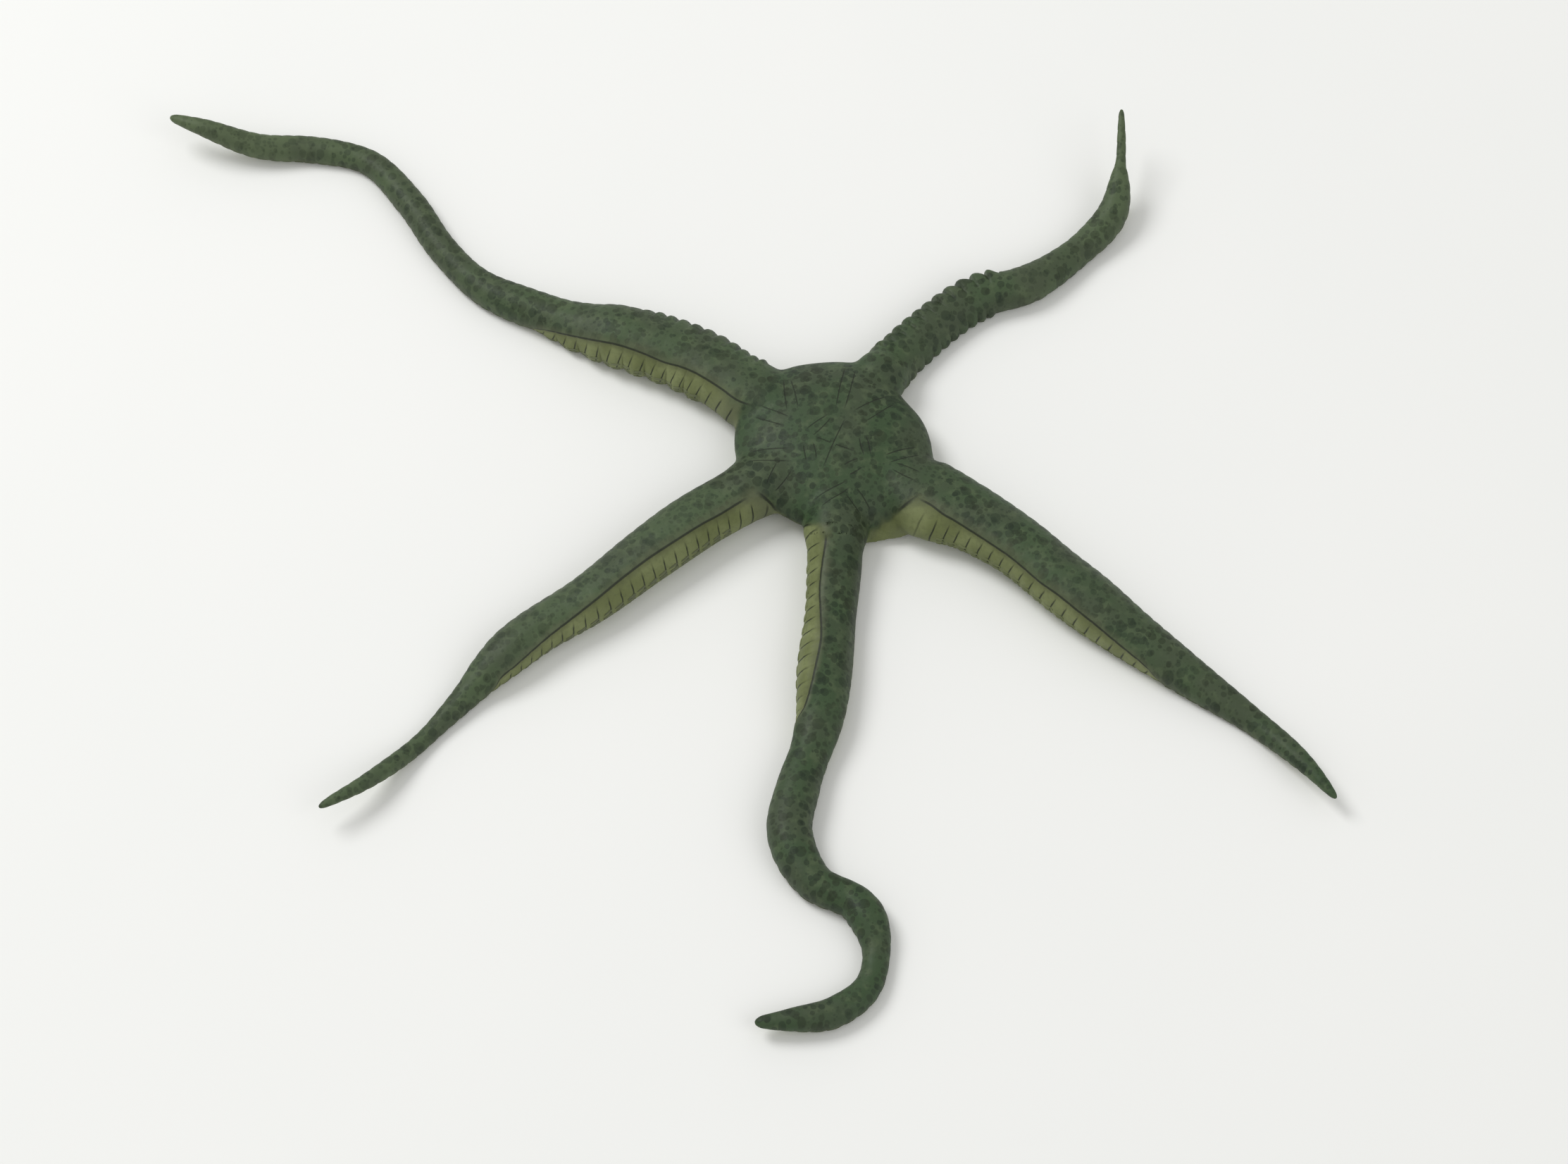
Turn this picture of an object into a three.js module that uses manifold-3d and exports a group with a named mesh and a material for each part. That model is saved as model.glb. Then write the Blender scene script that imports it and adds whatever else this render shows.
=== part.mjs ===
// A smooth-skinned green brittle star at life size, resting on a flat floor with its five arms spread.
// Millimetres, +Z up. The origin lies on the floor, in the middle of the ground that the arms cover.
// Far is +Y and near is -Y, as seen by someone who stands in front and looks down on the animal.

import * as THREE from "three";
import { mergeVertices } from "three/addons/utils/BufferGeometryUtils.js";
import Module from "manifold-3d";

const wasm = await Module();
wasm.setup();

// The gap between two neighbouring pieces
const GAP = 0.3;

// The disc: its middle seen from the origin, its half width and the heights of its outline
const DISC_CENTRE = { x: 14.4, y: 18 };
const DISC_RADIUS = 13.9;
const DISC_HEIGHT = 8.4;
const DISC_CLEARANCE = 0.7;
const DISC_EDGE_HEIGHT = 3.2;
// The disc is a little shorter towards the far right
const DISC_SHORT_SIDE = { towards: 48, share: 0.06 };
// Height at which the dark upper side of the disc meets its pale underside
const SEAM_HEIGHT = 2;

// The mouth in the middle of the underside, and the five jaws that close it
const MOUTH_RADIUS = 5.2;
const ARM_START_RADIUS = 5.8;
const JAW = { tip: 0.9, shoulder: 3.6, back: 4.5, shoulderHalf: 1.9, backHalf: 1.9, low: 0.5, high: 1.5 };
const FIRST_JAW_BEARING = 24;
const JAW_BEVEL = 0.15;
// The tooth at each jaw's tip and the small pegs along its two sides
const TOOTH = { depth: 0.7, reach: 0.25, thickness: 0.7 };
const JAW_PEG = { perSide: 3, stand: 0.35, thickness: 0.5, below: 0.2 };

// The shield outside each jaw, and the slits beside the arm roots that lead to the breathing pouches
const ORAL_SHIELD = { radius: 7.3, half: [1.5, 1.7, 0.45] };
const SLIT = { from: 8.6, to: 12.2, width: 0.5, depth: 0.6, besideArm: 0.45 };

// An arm's section: its reach, as a share of half the width, at angles from the crest down to the sole
const SECTION = [
  [0, 0.92],
  [38, 0.97],
  [70, 1.02],
  [92, 0.99],
  [118, 1],
  [150, 0.95],
  [180, 0.9],
];
// Height of the arm's middle line over its flat sole, as a share of half the width
const BELLY = 0.76;
// An arm grows no taller than this where it widens at the disc
const TALLEST_ARM = 7.5;
// Length along each arm, from its start at the mouth, that is fused with the disc
const ARM_ROOT = 10.2;
// The last stretch of an arm, which bears no plates, and how far its rounded end stands out
const BARE_TIP = 1.4;
const TIP_REACH = 0.7;
// Share of a side plate's length at which it is widest, just before it steps back
const PLATE_PEAK = 0.8;

// The arms, named by where they lie. Heading is the direction in which an arm leaves the mouth, in
// degrees from +X. The route runs on from there: x and y from the middle of the disc, and the lift
// of the sole over the floor. Width and plate flare go by the share of the arm's length. Roll turns
// the right flank up (the left one where it is negative) as far as rollEnd, where it has eased away.
const ARMS = [
  {
    name: "arm_far_left",
    heading: 139,
    route: [
      [-12.5, 8.3, 0],
      [-19.4, 13.4, 0],
      [-27.1, 16.8, 0],
      [-34.9, 19.6, 0],
      [-42.7, 23, 0],
      [-50.4, 27.1, 0],
      [-56.6, 34, 0],
      [-61.6, 42.1, 0],
      [-67.8, 49.2, 0],
      [-75.9, 51.4, 0],
      [-84.1, 51.3, 1.3],
      [-91.8, 52.7, 4.2],
      [-96.9, 54.4, 5],
    ],
    widths: [
      [0, 5.4],
      [0.07, 10.8],
      [0.1, 9.7],
      [0.16, 9.3],
      [0.275, 8.5],
      [0.315, 6.9],
      [0.355, 5.7],
      [0.43, 5.1],
      [0.51, 4.1],
      [0.64, 4],
      [0.74, 3.5],
      [0.8, 3.7],
      [0.88, 3.4],
      [0.95, 2.5],
      [1, 1.1],
    ],
    plates: 56,
    lengths: { base: 0.26, middle: 0.47, outer: 0.72 },
    roll: -24,
    rollEnd: 0.39,
    flareRight: { from: 0.1, to: 0.29, size: 0.8 },
    flareLeft: { from: 0.12, to: 0.37, size: 0.7, lobed: true },
    shields: [-7, 22],
  },
  {
    name: "arm_far_right",
    heading: 60,
    route: [
      [7.8, 12.6, 0],
      [13.6, 19.2, 0],
      [20.2, 24.7, 0],
      [28.3, 27.7, 0],
      [35.4, 33.4, 0],
      [40.6, 39.3, 1.2],
      [41.8, 45.5, 5],
      [42.1, 53.8, 8],
    ],
    widths: [
      [0, 5],
      [0.1, 8],
      [0.15, 6.2],
      [0.25, 5.9],
      [0.45, 5.8],
      [0.52, 5.4],
      [0.58, 4.6],
      [0.65, 4.1],
      [0.72, 4.3],
      [0.77, 4.1],
      [0.84, 2.4],
      [0.9, 1.7],
      [0.96, 1.4],
      [1, 0.8],
    ],
    plates: 30,
    lengths: { base: 0.33, middle: 0.56, outer: 0.76 },
    roll: -17,
    rollEnd: 0.8,
    flareRight: { from: 0.14, to: 0.5, size: 0.5 },
    flareLeft: { from: 0.14, to: 0.52, size: 0.5 },
    shields: [18, -26],
  },
  {
    name: "arm_near_right",
    heading: -21.5,
    route: [
      [11.9, -8.6, 0],
      [19.1, -12.5, 0],
      [25.8, -17.3, 0],
      [31.8, -23, 0],
      [41, -31, 0],
      [50.4, -38.3, 0],
      [58.2, -44.5, 0.1],
      [63.8, -50.8, 1.8],
      [68, -56.8, 3],
    ],
    widths: [
      [0, 5.4],
      [0.11, 10.8],
      [0.15, 10.6],
      [0.21, 9.5],
      [0.31, 8.7],
      [0.45, 8.4],
      [0.55, 7],
      [0.69, 5],
      [0.79, 3.5],
      [0.89, 2.7],
      [0.96, 1.7],
      [1, 0.8],
    ],
    plates: 37,
    lengths: { base: 0.32, middle: 0.54, outer: 0.76 },
    roll: 28,
    rollEnd: 0.62,
    flareRight: { from: 0.14, to: 0.62, size: 0.2 },
    flareLeft: { from: 0.14, to: 0.62, size: 0.15 },
    shields: [6, -10],
  },
  {
    name: "arm_front",
    heading: -86.5,
    route: [
      [0.1, -15.5, 0],
      [-0.4, -25, 0],
      [-1.5, -36, 0],
      [-2.5, -45.3, 0],
      [-5.1, -54.1, 0],
      [-6.3, -61.6, 0],
      [-3.1, -68.6, 0],
      [2.8, -72.1, 0],
      [5.2, -77.6, 0],
      [4.1, -84.1, 0],
      [-0.5, -88, 0],
      [-6.2, -89.4, 1],
      [-11, -90, 2],
    ],
    widths: [
      [0, 5],
      [0.08, 9],
      [0.12, 7.6],
      [0.175, 7.2],
      [0.22, 7],
      [0.3, 7.3],
      [0.36, 6.7],
      [0.43, 5.4],
      [0.5, 5.8],
      [0.57, 5.9],
      [0.65, 4.8],
      [0.69, 4.6],
      [0.73, 4.9],
      [0.78, 3.6],
      [0.82, 3.5],
      [0.89, 4],
      [0.94, 3.3],
      [1, 1.4],
    ],
    plates: 45,
    lengths: { base: 0.35, middle: 0.56, outer: 0.77 },
    roll: 48,
    rollEnd: 0.41,
    flareRight: { from: 0.12, to: 0.41, size: 0.2 },
    flareLeft: { from: 0.12, to: 0.41, size: 0.15 },
    shields: [13, -6],
  },
  {
    name: "arm_near_left",
    heading: 209,
    route: [
      [-12.2, -8.2, 0],
      [-19, -12.7, 0],
      [-26.3, -18.6, 0],
      [-34, -25.2, 0],
      [-41.7, -30.5, 0],
      [-47.6, -36, 0],
      [-52.9, -42.1, 0],
      [-58.3, -48.4, 0.5],
      [-64.4, -54.6, 2.8],
      [-70.2, -58.7, 4],
    ],
    widths: [
      [0, 5],
      [0.07, 9.3],
      [0.12, 8.2],
      [0.25, 8.4],
      [0.39, 7.5],
      [0.5, 6.5],
      [0.58, 6.1],
      [0.63, 5],
      [0.67, 3.8],
      [0.72, 2.9],
      [0.77, 2.3],
      [0.87, 2.2],
      [0.96, 1.5],
      [1, 0.8],
    ],
    plates: 39,
    lengths: { base: 0.32, middle: 0.54, outer: 0.77 },
    roll: -35,
    rollEnd: 0.66,
    flareRight: { from: 0.14, to: 0.62, size: 0.15 },
    flareLeft: { from: 0.14, to: 0.66, size: 0.2 },
    shields: [13, -7],
  },
];
// The flare that every side plate keeps beyond the stretches named above
const RESTING_FLARE = 0.1;

// One short spine a side lies back along each plate: its angle from the crest, and from straight up
// where the arm is rolled over; its root and tip by the plate's length; its thickness where the arm is
// full; its root's depth in the skin, how far its tip stands off the plate's edge, and how much that
// varies from plate to plate
const SPINE = { angle: 108, lowest: 104, root: 0.2, tip: 0.93, thickness: 0.8, depth: 0.22 };
const SPINE_TIP = { stand: 0.2, variety: 0.25, step: 2.4 };
const FULL_WIDTH = 8;

// Folds of skin on the disc's upper side: one over each radial shield, and five nearer the middle,
// each by its distance from the middle, the angle there, its own direction and its length
const SHIELD_FOLD = { radius: 9.6, length: 5, width: 1.8, rise: 0.45, sides: 6 };
const INNER_FOLDS = [
  { radius: 2.4, angle: 170, direction: 46, length: 3.8 },
  { radius: 5.2, angle: 232, direction: 102, length: 3 },
  { radius: 5, angle: 320, direction: 102, length: 3.2 },
  { radius: 6.2, angle: 290, direction: 41, length: 2.8 },
  { radius: 3.6, angle: 60, direction: 128, length: 4 },
];
const INNER_FOLD_WIDTH = 1.2;

// The pale web of skin in the angle between the front arm and the near right one
const WEB = { angle: -46, radius: 9.6, half: [7.4, 9, 2.2], height: 0.9 };

const MATERIALS = {
  upper: { color: 0x40543f, roughness: 0.55, metalness: 0 },
  under: { color: 0x787f50, roughness: 0.6, metalness: 0 },
  jaw: { color: 0xa3a382, roughness: 0.5, metalness: 0 },
};

// Maths

const radians = THREE.MathUtils.degToRad;

// A smooth value at x through pairs of place and value
function through(pairs, x) {
  const last = pairs.length - 1;
  let i = 0;
  while (i < last - 1 && x > pairs[i + 1][0]) i++;
  const slope = (k) => {
    const a = pairs[Math.max(k - 1, 0)];
    const b = pairs[Math.min(k + 1, last)];
    return (b[1] - a[1]) / (b[0] - a[0]);
  };
  const span = pairs[i + 1][0] - pairs[i][0];
  const t = THREE.MathUtils.clamp((x - pairs[i][0]) / span, 0, 1);
  const rise = t * t * (3 - 2 * t);
  return (
    pairs[i][1] * (1 - rise) +
    pairs[i + 1][1] * rise +
    span * (slope(i) * t * (1 - t) * (1 - t) - slope(i + 1) * t * t * (1 - t))
  );
}

// The point at a radius and an angle from the disc's middle
function fromDisc(radius, angle, z) {
  const turn = radians(angle);
  return new THREE.Vector3(
    DISC_CENTRE.x + radius * Math.cos(turn),
    DISC_CENTRE.y + radius * Math.sin(turn),
    z,
  );
}

// Solids

function solid(geometry) {
  geometry.deleteAttribute("normal");
  geometry.deleteAttribute("uv");
  const merged = mergeVertices(geometry, 1e-4);
  const triVerts = new Uint32Array(merged.index.array);
  const vertProperties = merged.attributes.position.array;
  return new wasm.Manifold(new wasm.Mesh({ numProp: 3, vertProperties, triVerts }));
}

function joined(solids) {
  return solids.reduce((whole, piece) => whole.add(piece));
}

// The largest closed surface of a solid
function largest(body) {
  return body.decompose().sort((a, b) => b.volume() - a.volume())[0];
}

function geometryOf(body) {
  const mesh = body.getMesh();
  const geometry = new THREE.BufferGeometry();
  const places = new Float32Array(mesh.vertProperties);
  geometry.setAttribute("position", new THREE.BufferAttribute(places, 3));
  geometry.setIndex(new THREE.BufferAttribute(new Uint32Array(mesh.triVerts), 1));
  geometry.computeVertexNormals();
  return geometry;
}

// A tapering peg of four sides from one point to another
function peg(from, to, thickness) {
  const way = to.clone().sub(from);
  const length = way.length();
  const turn = new THREE.Quaternion().setFromUnitVectors(new THREE.Vector3(0, 1, 0), way.normalize());
  const geometry = new THREE.ConeGeometry(thickness / 2, length, 4).translate(0, length / 2, 0);
  return solid(geometry.applyQuaternion(turn).translate(from.x, from.y, from.z));
}

// A closed tube of rings: place(ring, column) gives each point, and place(ring, null) the middle of an end
function loft(columns, rings, place) {
  const geometry = new THREE.CylinderGeometry(1, 1, 1, columns, rings - 1);
  const points = geometry.getAttribute("position");
  for (let i = 0; i < points.count; i++) {
    const ring = Math.round((points.getY(i) + 0.5) * (rings - 1));
    const onAxis = Math.hypot(points.getX(i), points.getZ(i)) < 0.5;
    const turn = Math.atan2(points.getX(i), points.getZ(i)) / (2 * Math.PI);
    const column = Math.round((turn + 1) * columns) % columns;
    const point = place(ring, onAxis ? null : column);
    points.setXYZ(i, point.x, point.y, point.z);
  }
  return geometry;
}

// Arms

for (const arm of ARMS) {
  const start = fromDisc(ARM_START_RADIUS, arm.heading, 0);
  const onward = arm.route.map(
    ([x, y, lift]) => new THREE.Vector3(DISC_CENTRE.x + x, DISC_CENTRE.y + y, lift),
  );
  arm.sole = new THREE.CatmullRomCurve3([start, ...onward], false, "centripetal");
  arm.size = arm.sole.getLength();
  arm.rootEnd = ARM_ROOT / arm.size;
  arm.plateShare = (1 - BARE_TIP / arm.size - arm.rootEnd) / arm.plates;
}

function halfWidth(arm, share) {
  return through(arm.widths, share) / 2;
}

// The middle of the flat sole, which is level with the floor until the arm lifts
function solePoint(arm, share) {
  const point = arm.sole.getPointAt(share);
  point.z = Math.max(point.z, 0);
  return point;
}

// How much a wide stretch is flattened
function squat(arm, share) {
  const height = (BELLY + SECTION[1][1]) * halfWidth(arm, share);
  return Math.min(1, TALLEST_ARM / height);
}

function middleLine(arm, share) {
  const point = solePoint(arm, share);
  point.z += BELLY * halfWidth(arm, share) * squat(arm, share);
  return point;
}

function rollAt(arm, share) {
  const easing = THREE.MathUtils.smoothstep(share, 0.55 * arm.rollEnd, arm.rollEnd);
  return arm.roll * (1 - easing);
}

// The arm's own axes at a share of its length: along it, out to its right, and up to its crest
function armAxes(arm, share) {
  const step = 0.004;
  const low = middleLine(arm, Math.max(share - step, 0));
  const high = middleLine(arm, Math.min(share + step, 1));
  const along = high.sub(low).normalize();
  const level = new THREE.Vector3(along.y, -along.x, 0).normalize();
  const right = level.applyAxisAngle(along, -radians(rollAt(arm, share)));
  const crest = new THREE.Vector3().crossVectors(right, along);
  return { along, right, crest };
}

// A point of the arm's skin, at an angle from the crest that is positive on the right flank
function skinPoint(arm, share, angle, swell) {
  const { right, crest } = armAxes(arm, share);
  const reach = through(SECTION, Math.abs(angle)) * halfWidth(arm, share) + swell;
  const turn = radians(angle);
  const outward = new THREE.Vector3()
    .addScaledVector(right, reach * Math.sin(turn))
    .addScaledVector(crest, reach * Math.cos(turn));
  outward.z *= squat(arm, share);
  const point = middleLine(arm, share).add(outward);
  point.z = Math.max(point.z, solePoint(arm, share).z);
  return point;
}

// How far the side plates stand out, at a plate number with its fraction
function flareAt(arm, plate, angle) {
  const share = arm.rootEnd + plate * arm.plateShare;
  const flare = angle > 0 ? arm.flareRight : arm.flareLeft;
  const inside = THREE.MathUtils.smoothstep(share, flare.from - 0.02, flare.from + 0.02);
  const beyond = THREE.MathUtils.smoothstep(share, flare.to - 0.03, flare.to + 0.01);
  const size = RESTING_FLARE + (flare.size - RESTING_FLARE) * inside * (1 - beyond);
  const fraction = plate - Math.floor(plate);
  const single = fraction < PLATE_PEAK ? fraction / PLATE_PEAK : (1 - fraction) / (1 - PLATE_PEAK);
  const lobe = Math.abs(Math.sin((plate * Math.PI) / 2));
  const fromCrest = THREE.MathUtils.smoothstep(Math.abs(angle), 15, 60);
  const onFlank = fromCrest * (1 - THREE.MathUtils.smoothstep(Math.abs(angle), 135, 175));
  return size * onFlank * (flare.lobed ? lobe : single);
}

// Angles of the columns of a section, evenly spread over the named ones
function columnAngle(column, columns) {
  const side = column <= columns / 2 ? 1 : -1;
  const step = side > 0 ? column : columns - column;
  const spread = ((SECTION.length - 1) * step) / (columns / 2);
  const low = Math.min(Math.floor(spread), SECTION.length - 2);
  return side * THREE.MathUtils.lerp(SECTION[low][0], SECTION[low + 1][0], spread - low);
}

// The stretch of an arm between two plates, with flat ends half a gap short of its neighbours
function armStretch(arm, fromPlate, toPlate, columns, stepped) {
  const plates = [];
  for (let plate = fromPlate; plate < toPlate; plate++) {
    plates.push(plate);
    if (stepped) plates.push(plate + PLATE_PEAK);
  }
  plates.push(toPlate);
  const toTip = toPlate === arm.plates;
  if (toTip) plates.push(toPlate + 0.5 * (BARE_TIP / arm.size / arm.plateShare));
  const rings = plates.map((plate, i) => {
    const inset = (GAP / 2 / arm.size) * (i === 0 ? 1 : i === plates.length - 1 && !toTip ? -1 : 0);
    return { plate, share: arm.rootEnd + plate * arm.plateShare + inset };
  });
  const place = (ring, column) => {
    const { plate, share } = rings[ring];
    if (column === null) {
      const middle = middleLine(arm, share);
      const reach = toTip && ring === rings.length - 1 ? TIP_REACH : 0;
      return middle.addScaledVector(armAxes(arm, share).along, reach);
    }
    const angle = columnAngle(column, columns);
    return skinPoint(arm, share, angle, flareAt(arm, plate, angle));
  };
  return solid(loft(columns, rings.length, place));
}

// A spine on one side (1 right, -1 left) of a plate, lying back along the arm
function spine(arm, plate, side) {
  const onSkin = (fraction, swell) => {
    const share = arm.rootEnd + (plate + fraction) * arm.plateShare;
    const angle = side * Math.min(SPINE.angle, SPINE.lowest + side * rollAt(arm, share));
    return skinPoint(arm, share, angle, swell + flareAt(arm, plate + PLATE_PEAK, angle));
  };
  const share = arm.rootEnd + plate * arm.plateShare;
  const size = Math.min(1, Math.sqrt((2 * halfWidth(arm, share)) / FULL_WIDTH));
  const variety = 1 + SPINE_TIP.variety * Math.sin(SPINE_TIP.step * plate + side);
  const root = onSkin(SPINE.root, -SPINE.depth * size - flareAt(arm, plate + PLATE_PEAK, 90 * side));
  return peg(root, onSkin(SPINE.tip, SPINE_TIP.stand * size * variety), SPINE.thickness * size);
}

function spines(arm, fromPlate, toPlate) {
  const pair = (_, i) => [spine(arm, fromPlate + i, 1), spine(arm, fromPlate + i, -1)];
  return Array.from({ length: toPlate - fromPlate }, pair).flat();
}

// The root of an arm, from the mouth to just past the disc's edge
function armRoot(arm) {
  const rings = 7;
  const columns = 12;
  const end = arm.rootEnd - GAP / 2 / arm.size;
  const place = (ring, column) => {
    const share = (end * ring) / (rings - 1);
    if (column === null) return middleLine(arm, share);
    return skinPoint(arm, share, columnAngle(column, columns), 0);
  };
  return solid(loft(columns, rings, place));
}

// The room that an arm takes up next to its root, with the gap round it, its flares and its floor
function armRoom(arm) {
  const columns = 12;
  const rings = 7;
  const from = arm.rootEnd - GAP / 2 / arm.size;
  const reach = arm.lengths.base - arm.rootEnd;
  const place = (ring, column) => {
    const share = from + (reach * ring) / (rings - 1);
    if (column === null) return middleLine(arm, share);
    const point = skinPoint(arm, share, columnAngle(column, columns), GAP + arm.flareRight.size);
    if (point.z <= GAP) point.z = -GAP;
    return point;
  };
  return solid(loft(columns, rings, place));
}

const ARM_LENGTHS = [
  { name: "base", columns: 12, stepped: true, spined: true },
  { name: "middle", columns: 12, stepped: true, spined: true },
  { name: "outer", columns: 8, stepped: false, spined: true },
  { name: "tip", columns: 8, stepped: false, spined: false },
];

function armLengths(arm) {
  const plateAt = (share) => Math.round((share - arm.rootEnd) / arm.plateShare);
  const ends = [plateAt(arm.lengths.base), plateAt(arm.lengths.middle), plateAt(arm.lengths.outer)];
  const cuts = [0, ...ends, arm.plates];
  return ARM_LENGTHS.map(({ name, columns, stepped, spined }, i) => {
    const stretch = armStretch(arm, cuts[i], cuts[i + 1], columns, stepped);
    const body = spined ? largest(joined([stretch, ...spines(arm, cuts[i], cuts[i + 1])])) : stretch;
    return { name: arm.name + "_" + name, body };
  });
}

// Disc

// Upper outline of the disc: distance from the middle and height there
const DISC_DOME = [
  [0, DISC_HEIGHT],
  [0.36 * DISC_RADIUS, 0.965 * DISC_HEIGHT],
  [0.65 * DISC_RADIUS, 0.86 * DISC_HEIGHT],
  [0.85 * DISC_RADIUS, 0.71 * DISC_HEIGHT],
  [0.96 * DISC_RADIUS, 0.56 * DISC_HEIGHT],
  [DISC_RADIUS, DISC_EDGE_HEIGHT],
];

function discBody() {
  const under = [
    [0, DISC_CLEARANCE],
    [0.84 * DISC_RADIUS, DISC_CLEARANCE],
    [0.95 * DISC_RADIUS, 1.5],
  ];
  const outline = [...under, ...DISC_DOME.slice().reverse()];
  const profile = outline.map(([radius, height]) => new THREE.Vector2(radius, height));
  const geometry = new THREE.LatheGeometry(profile, 50).rotateX(Math.PI / 2);
  const points = geometry.getAttribute("position");
  for (let i = 0; i < points.count; i++) {
    const angle = Math.atan2(points.getY(i), points.getX(i));
    const short = DISC_SHORT_SIDE.share * Math.cos(angle - radians(DISC_SHORT_SIDE.towards));
    points.setX(i, DISC_CENTRE.x + points.getX(i) * (1 - short));
    points.setY(i, DISC_CENTRE.y + points.getY(i) * (1 - short));
  }
  return solid(geometry);
}

const UP = new THREE.Vector3(0, 0, 1);

// A low rounded swelling: half its length, width and height, turned about Z, laid on a slope and moved
function swelling(half, at, direction, roundness, slope = UP) {
  const geometry = new THREE.SphereGeometry(1, roundness, roundness / 2).rotateX(Math.PI / 2);
  geometry.scale(...half).rotateZ(radians(direction));
  geometry.applyQuaternion(new THREE.Quaternion().setFromUnitVectors(UP, slope));
  return solid(geometry.translate(at.x, at.y, at.z));
}

// A fold of skin laid on the dome
function fold(half, radius, angle, direction) {
  const step = 0.5;
  const fall = through(DISC_DOME, radius - step) - through(DISC_DOME, radius + step);
  const slope = new THREE.Vector3(fall, 0, 2 * step).normalize().applyAxisAngle(UP, radians(angle));
  const at = fromDisc(radius, angle, through(DISC_DOME, radius));
  return swelling(half, at, direction, SHIELD_FOLD.sides, slope);
}

function skinFolds() {
  const shields = ARMS.flatMap((arm) => {
    const marginPoint = arm.route[0];
    const bearing = THREE.MathUtils.radToDeg(Math.atan2(marginPoint[1], marginPoint[0]));
    return arm.shields.map((offset) => {
      const angle = bearing + offset;
      const half = [SHIELD_FOLD.length / 2, SHIELD_FOLD.width / 2, SHIELD_FOLD.rise];
      return fold(half, SHIELD_FOLD.radius, angle, angle);
    });
  });
  const inner = INNER_FOLDS.map(({ radius, angle, direction, length }) =>
    fold([length / 2, INNER_FOLD_WIDTH / 2, SHIELD_FOLD.rise], radius, angle, direction),
  );
  return [...shields, ...inner];
}

function block(low, high) {
  const size = [0, 1, 2].map((i) => high[i] - low[i]);
  const middle = [0, 1, 2].map((i) => (high[i] + low[i]) / 2);
  return solid(new THREE.BoxGeometry(...size).translate(...middle));
}

const WIDE = 60;
const seamLow = SEAM_HEIGHT - GAP / 2;
const seamHigh = SEAM_HEIGHT + GAP / 2;
const aboveSeam = block([-WIDE, -WIDE, seamHigh], [WIDE, WIDE, WIDE]);
const floorToSeam = block([-WIDE, -WIDE, 0], [WIDE, WIDE, seamLow]);
const offTheFloor = block([-WIDE, -WIDE, DISC_CLEARANCE], [WIDE, WIDE, WIDE]);
const mouthHole = solid(
  new THREE.CylinderGeometry(MOUTH_RADIUS, MOUTH_RADIUS, 2 * SEAM_HEIGHT + 2, 30)
    .rotateX(Math.PI / 2)
    .translate(DISC_CENTRE.x, DISC_CENTRE.y, 0),
);

// The web stays clear of the near right arm, along whose flank it grows
const webbedArm = ARMS.find((arm) => arm.name === "arm_near_right");
const webCentre = fromDisc(WEB.radius, WEB.angle, WEB.height);
const web = swelling(WEB.half, webCentre, WEB.angle, 16)
  .intersect(offTheFloor)
  .subtract(armRoom(webbedArm));
const discWhole = joined([discBody(), web, ...ARMS.map(armRoot), ...skinFolds()]);
const discTop = largest(discWhole.intersect(aboveSeam));

// A slit beside an arm's root, on its right (1) or left (-1)
function slit(arm, side) {
  const [from, to] = [SLIT.from, SLIT.to].map((radius) => {
    const share = (radius - ARM_START_RADIUS) / arm.size;
    const { along } = armAxes(arm, share);
    const across = new THREE.Vector3(along.y, -along.x, 0).normalize();
    return solePoint(arm, share).addScaledVector(across, side * (halfWidth(arm, share) + SLIT.besideArm));
  });
  const way = to.clone().sub(from);
  const height = 2 * (DISC_CLEARANCE + SLIT.depth);
  const geometry = new THREE.BoxGeometry(way.length(), SLIT.width, height);
  geometry.rotateZ(Math.atan2(way.y, way.x)).translate((from.x + to.x) / 2, (from.y + to.y) / 2, 0);
  return solid(geometry);
}

const slits = ARMS.flatMap((arm) => [slit(arm, 1), slit(arm, -1)]);
const jawBearings = ARMS.map((_, i) => FIRST_JAW_BEARING + (360 / ARMS.length) * i);
const oralShields = jawBearings.map((bearing) => {
  const at = fromDisc(ORAL_SHIELD.radius, bearing, DISC_CLEARANCE);
  return swelling(ORAL_SHIELD.half, at, bearing, 10);
});
const underside = joined([discWhole, ...oralShields]).intersect(floorToSeam);
const discUnderside = largest(underside.subtract(mouthHole).subtract(joined(slits)));

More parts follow.
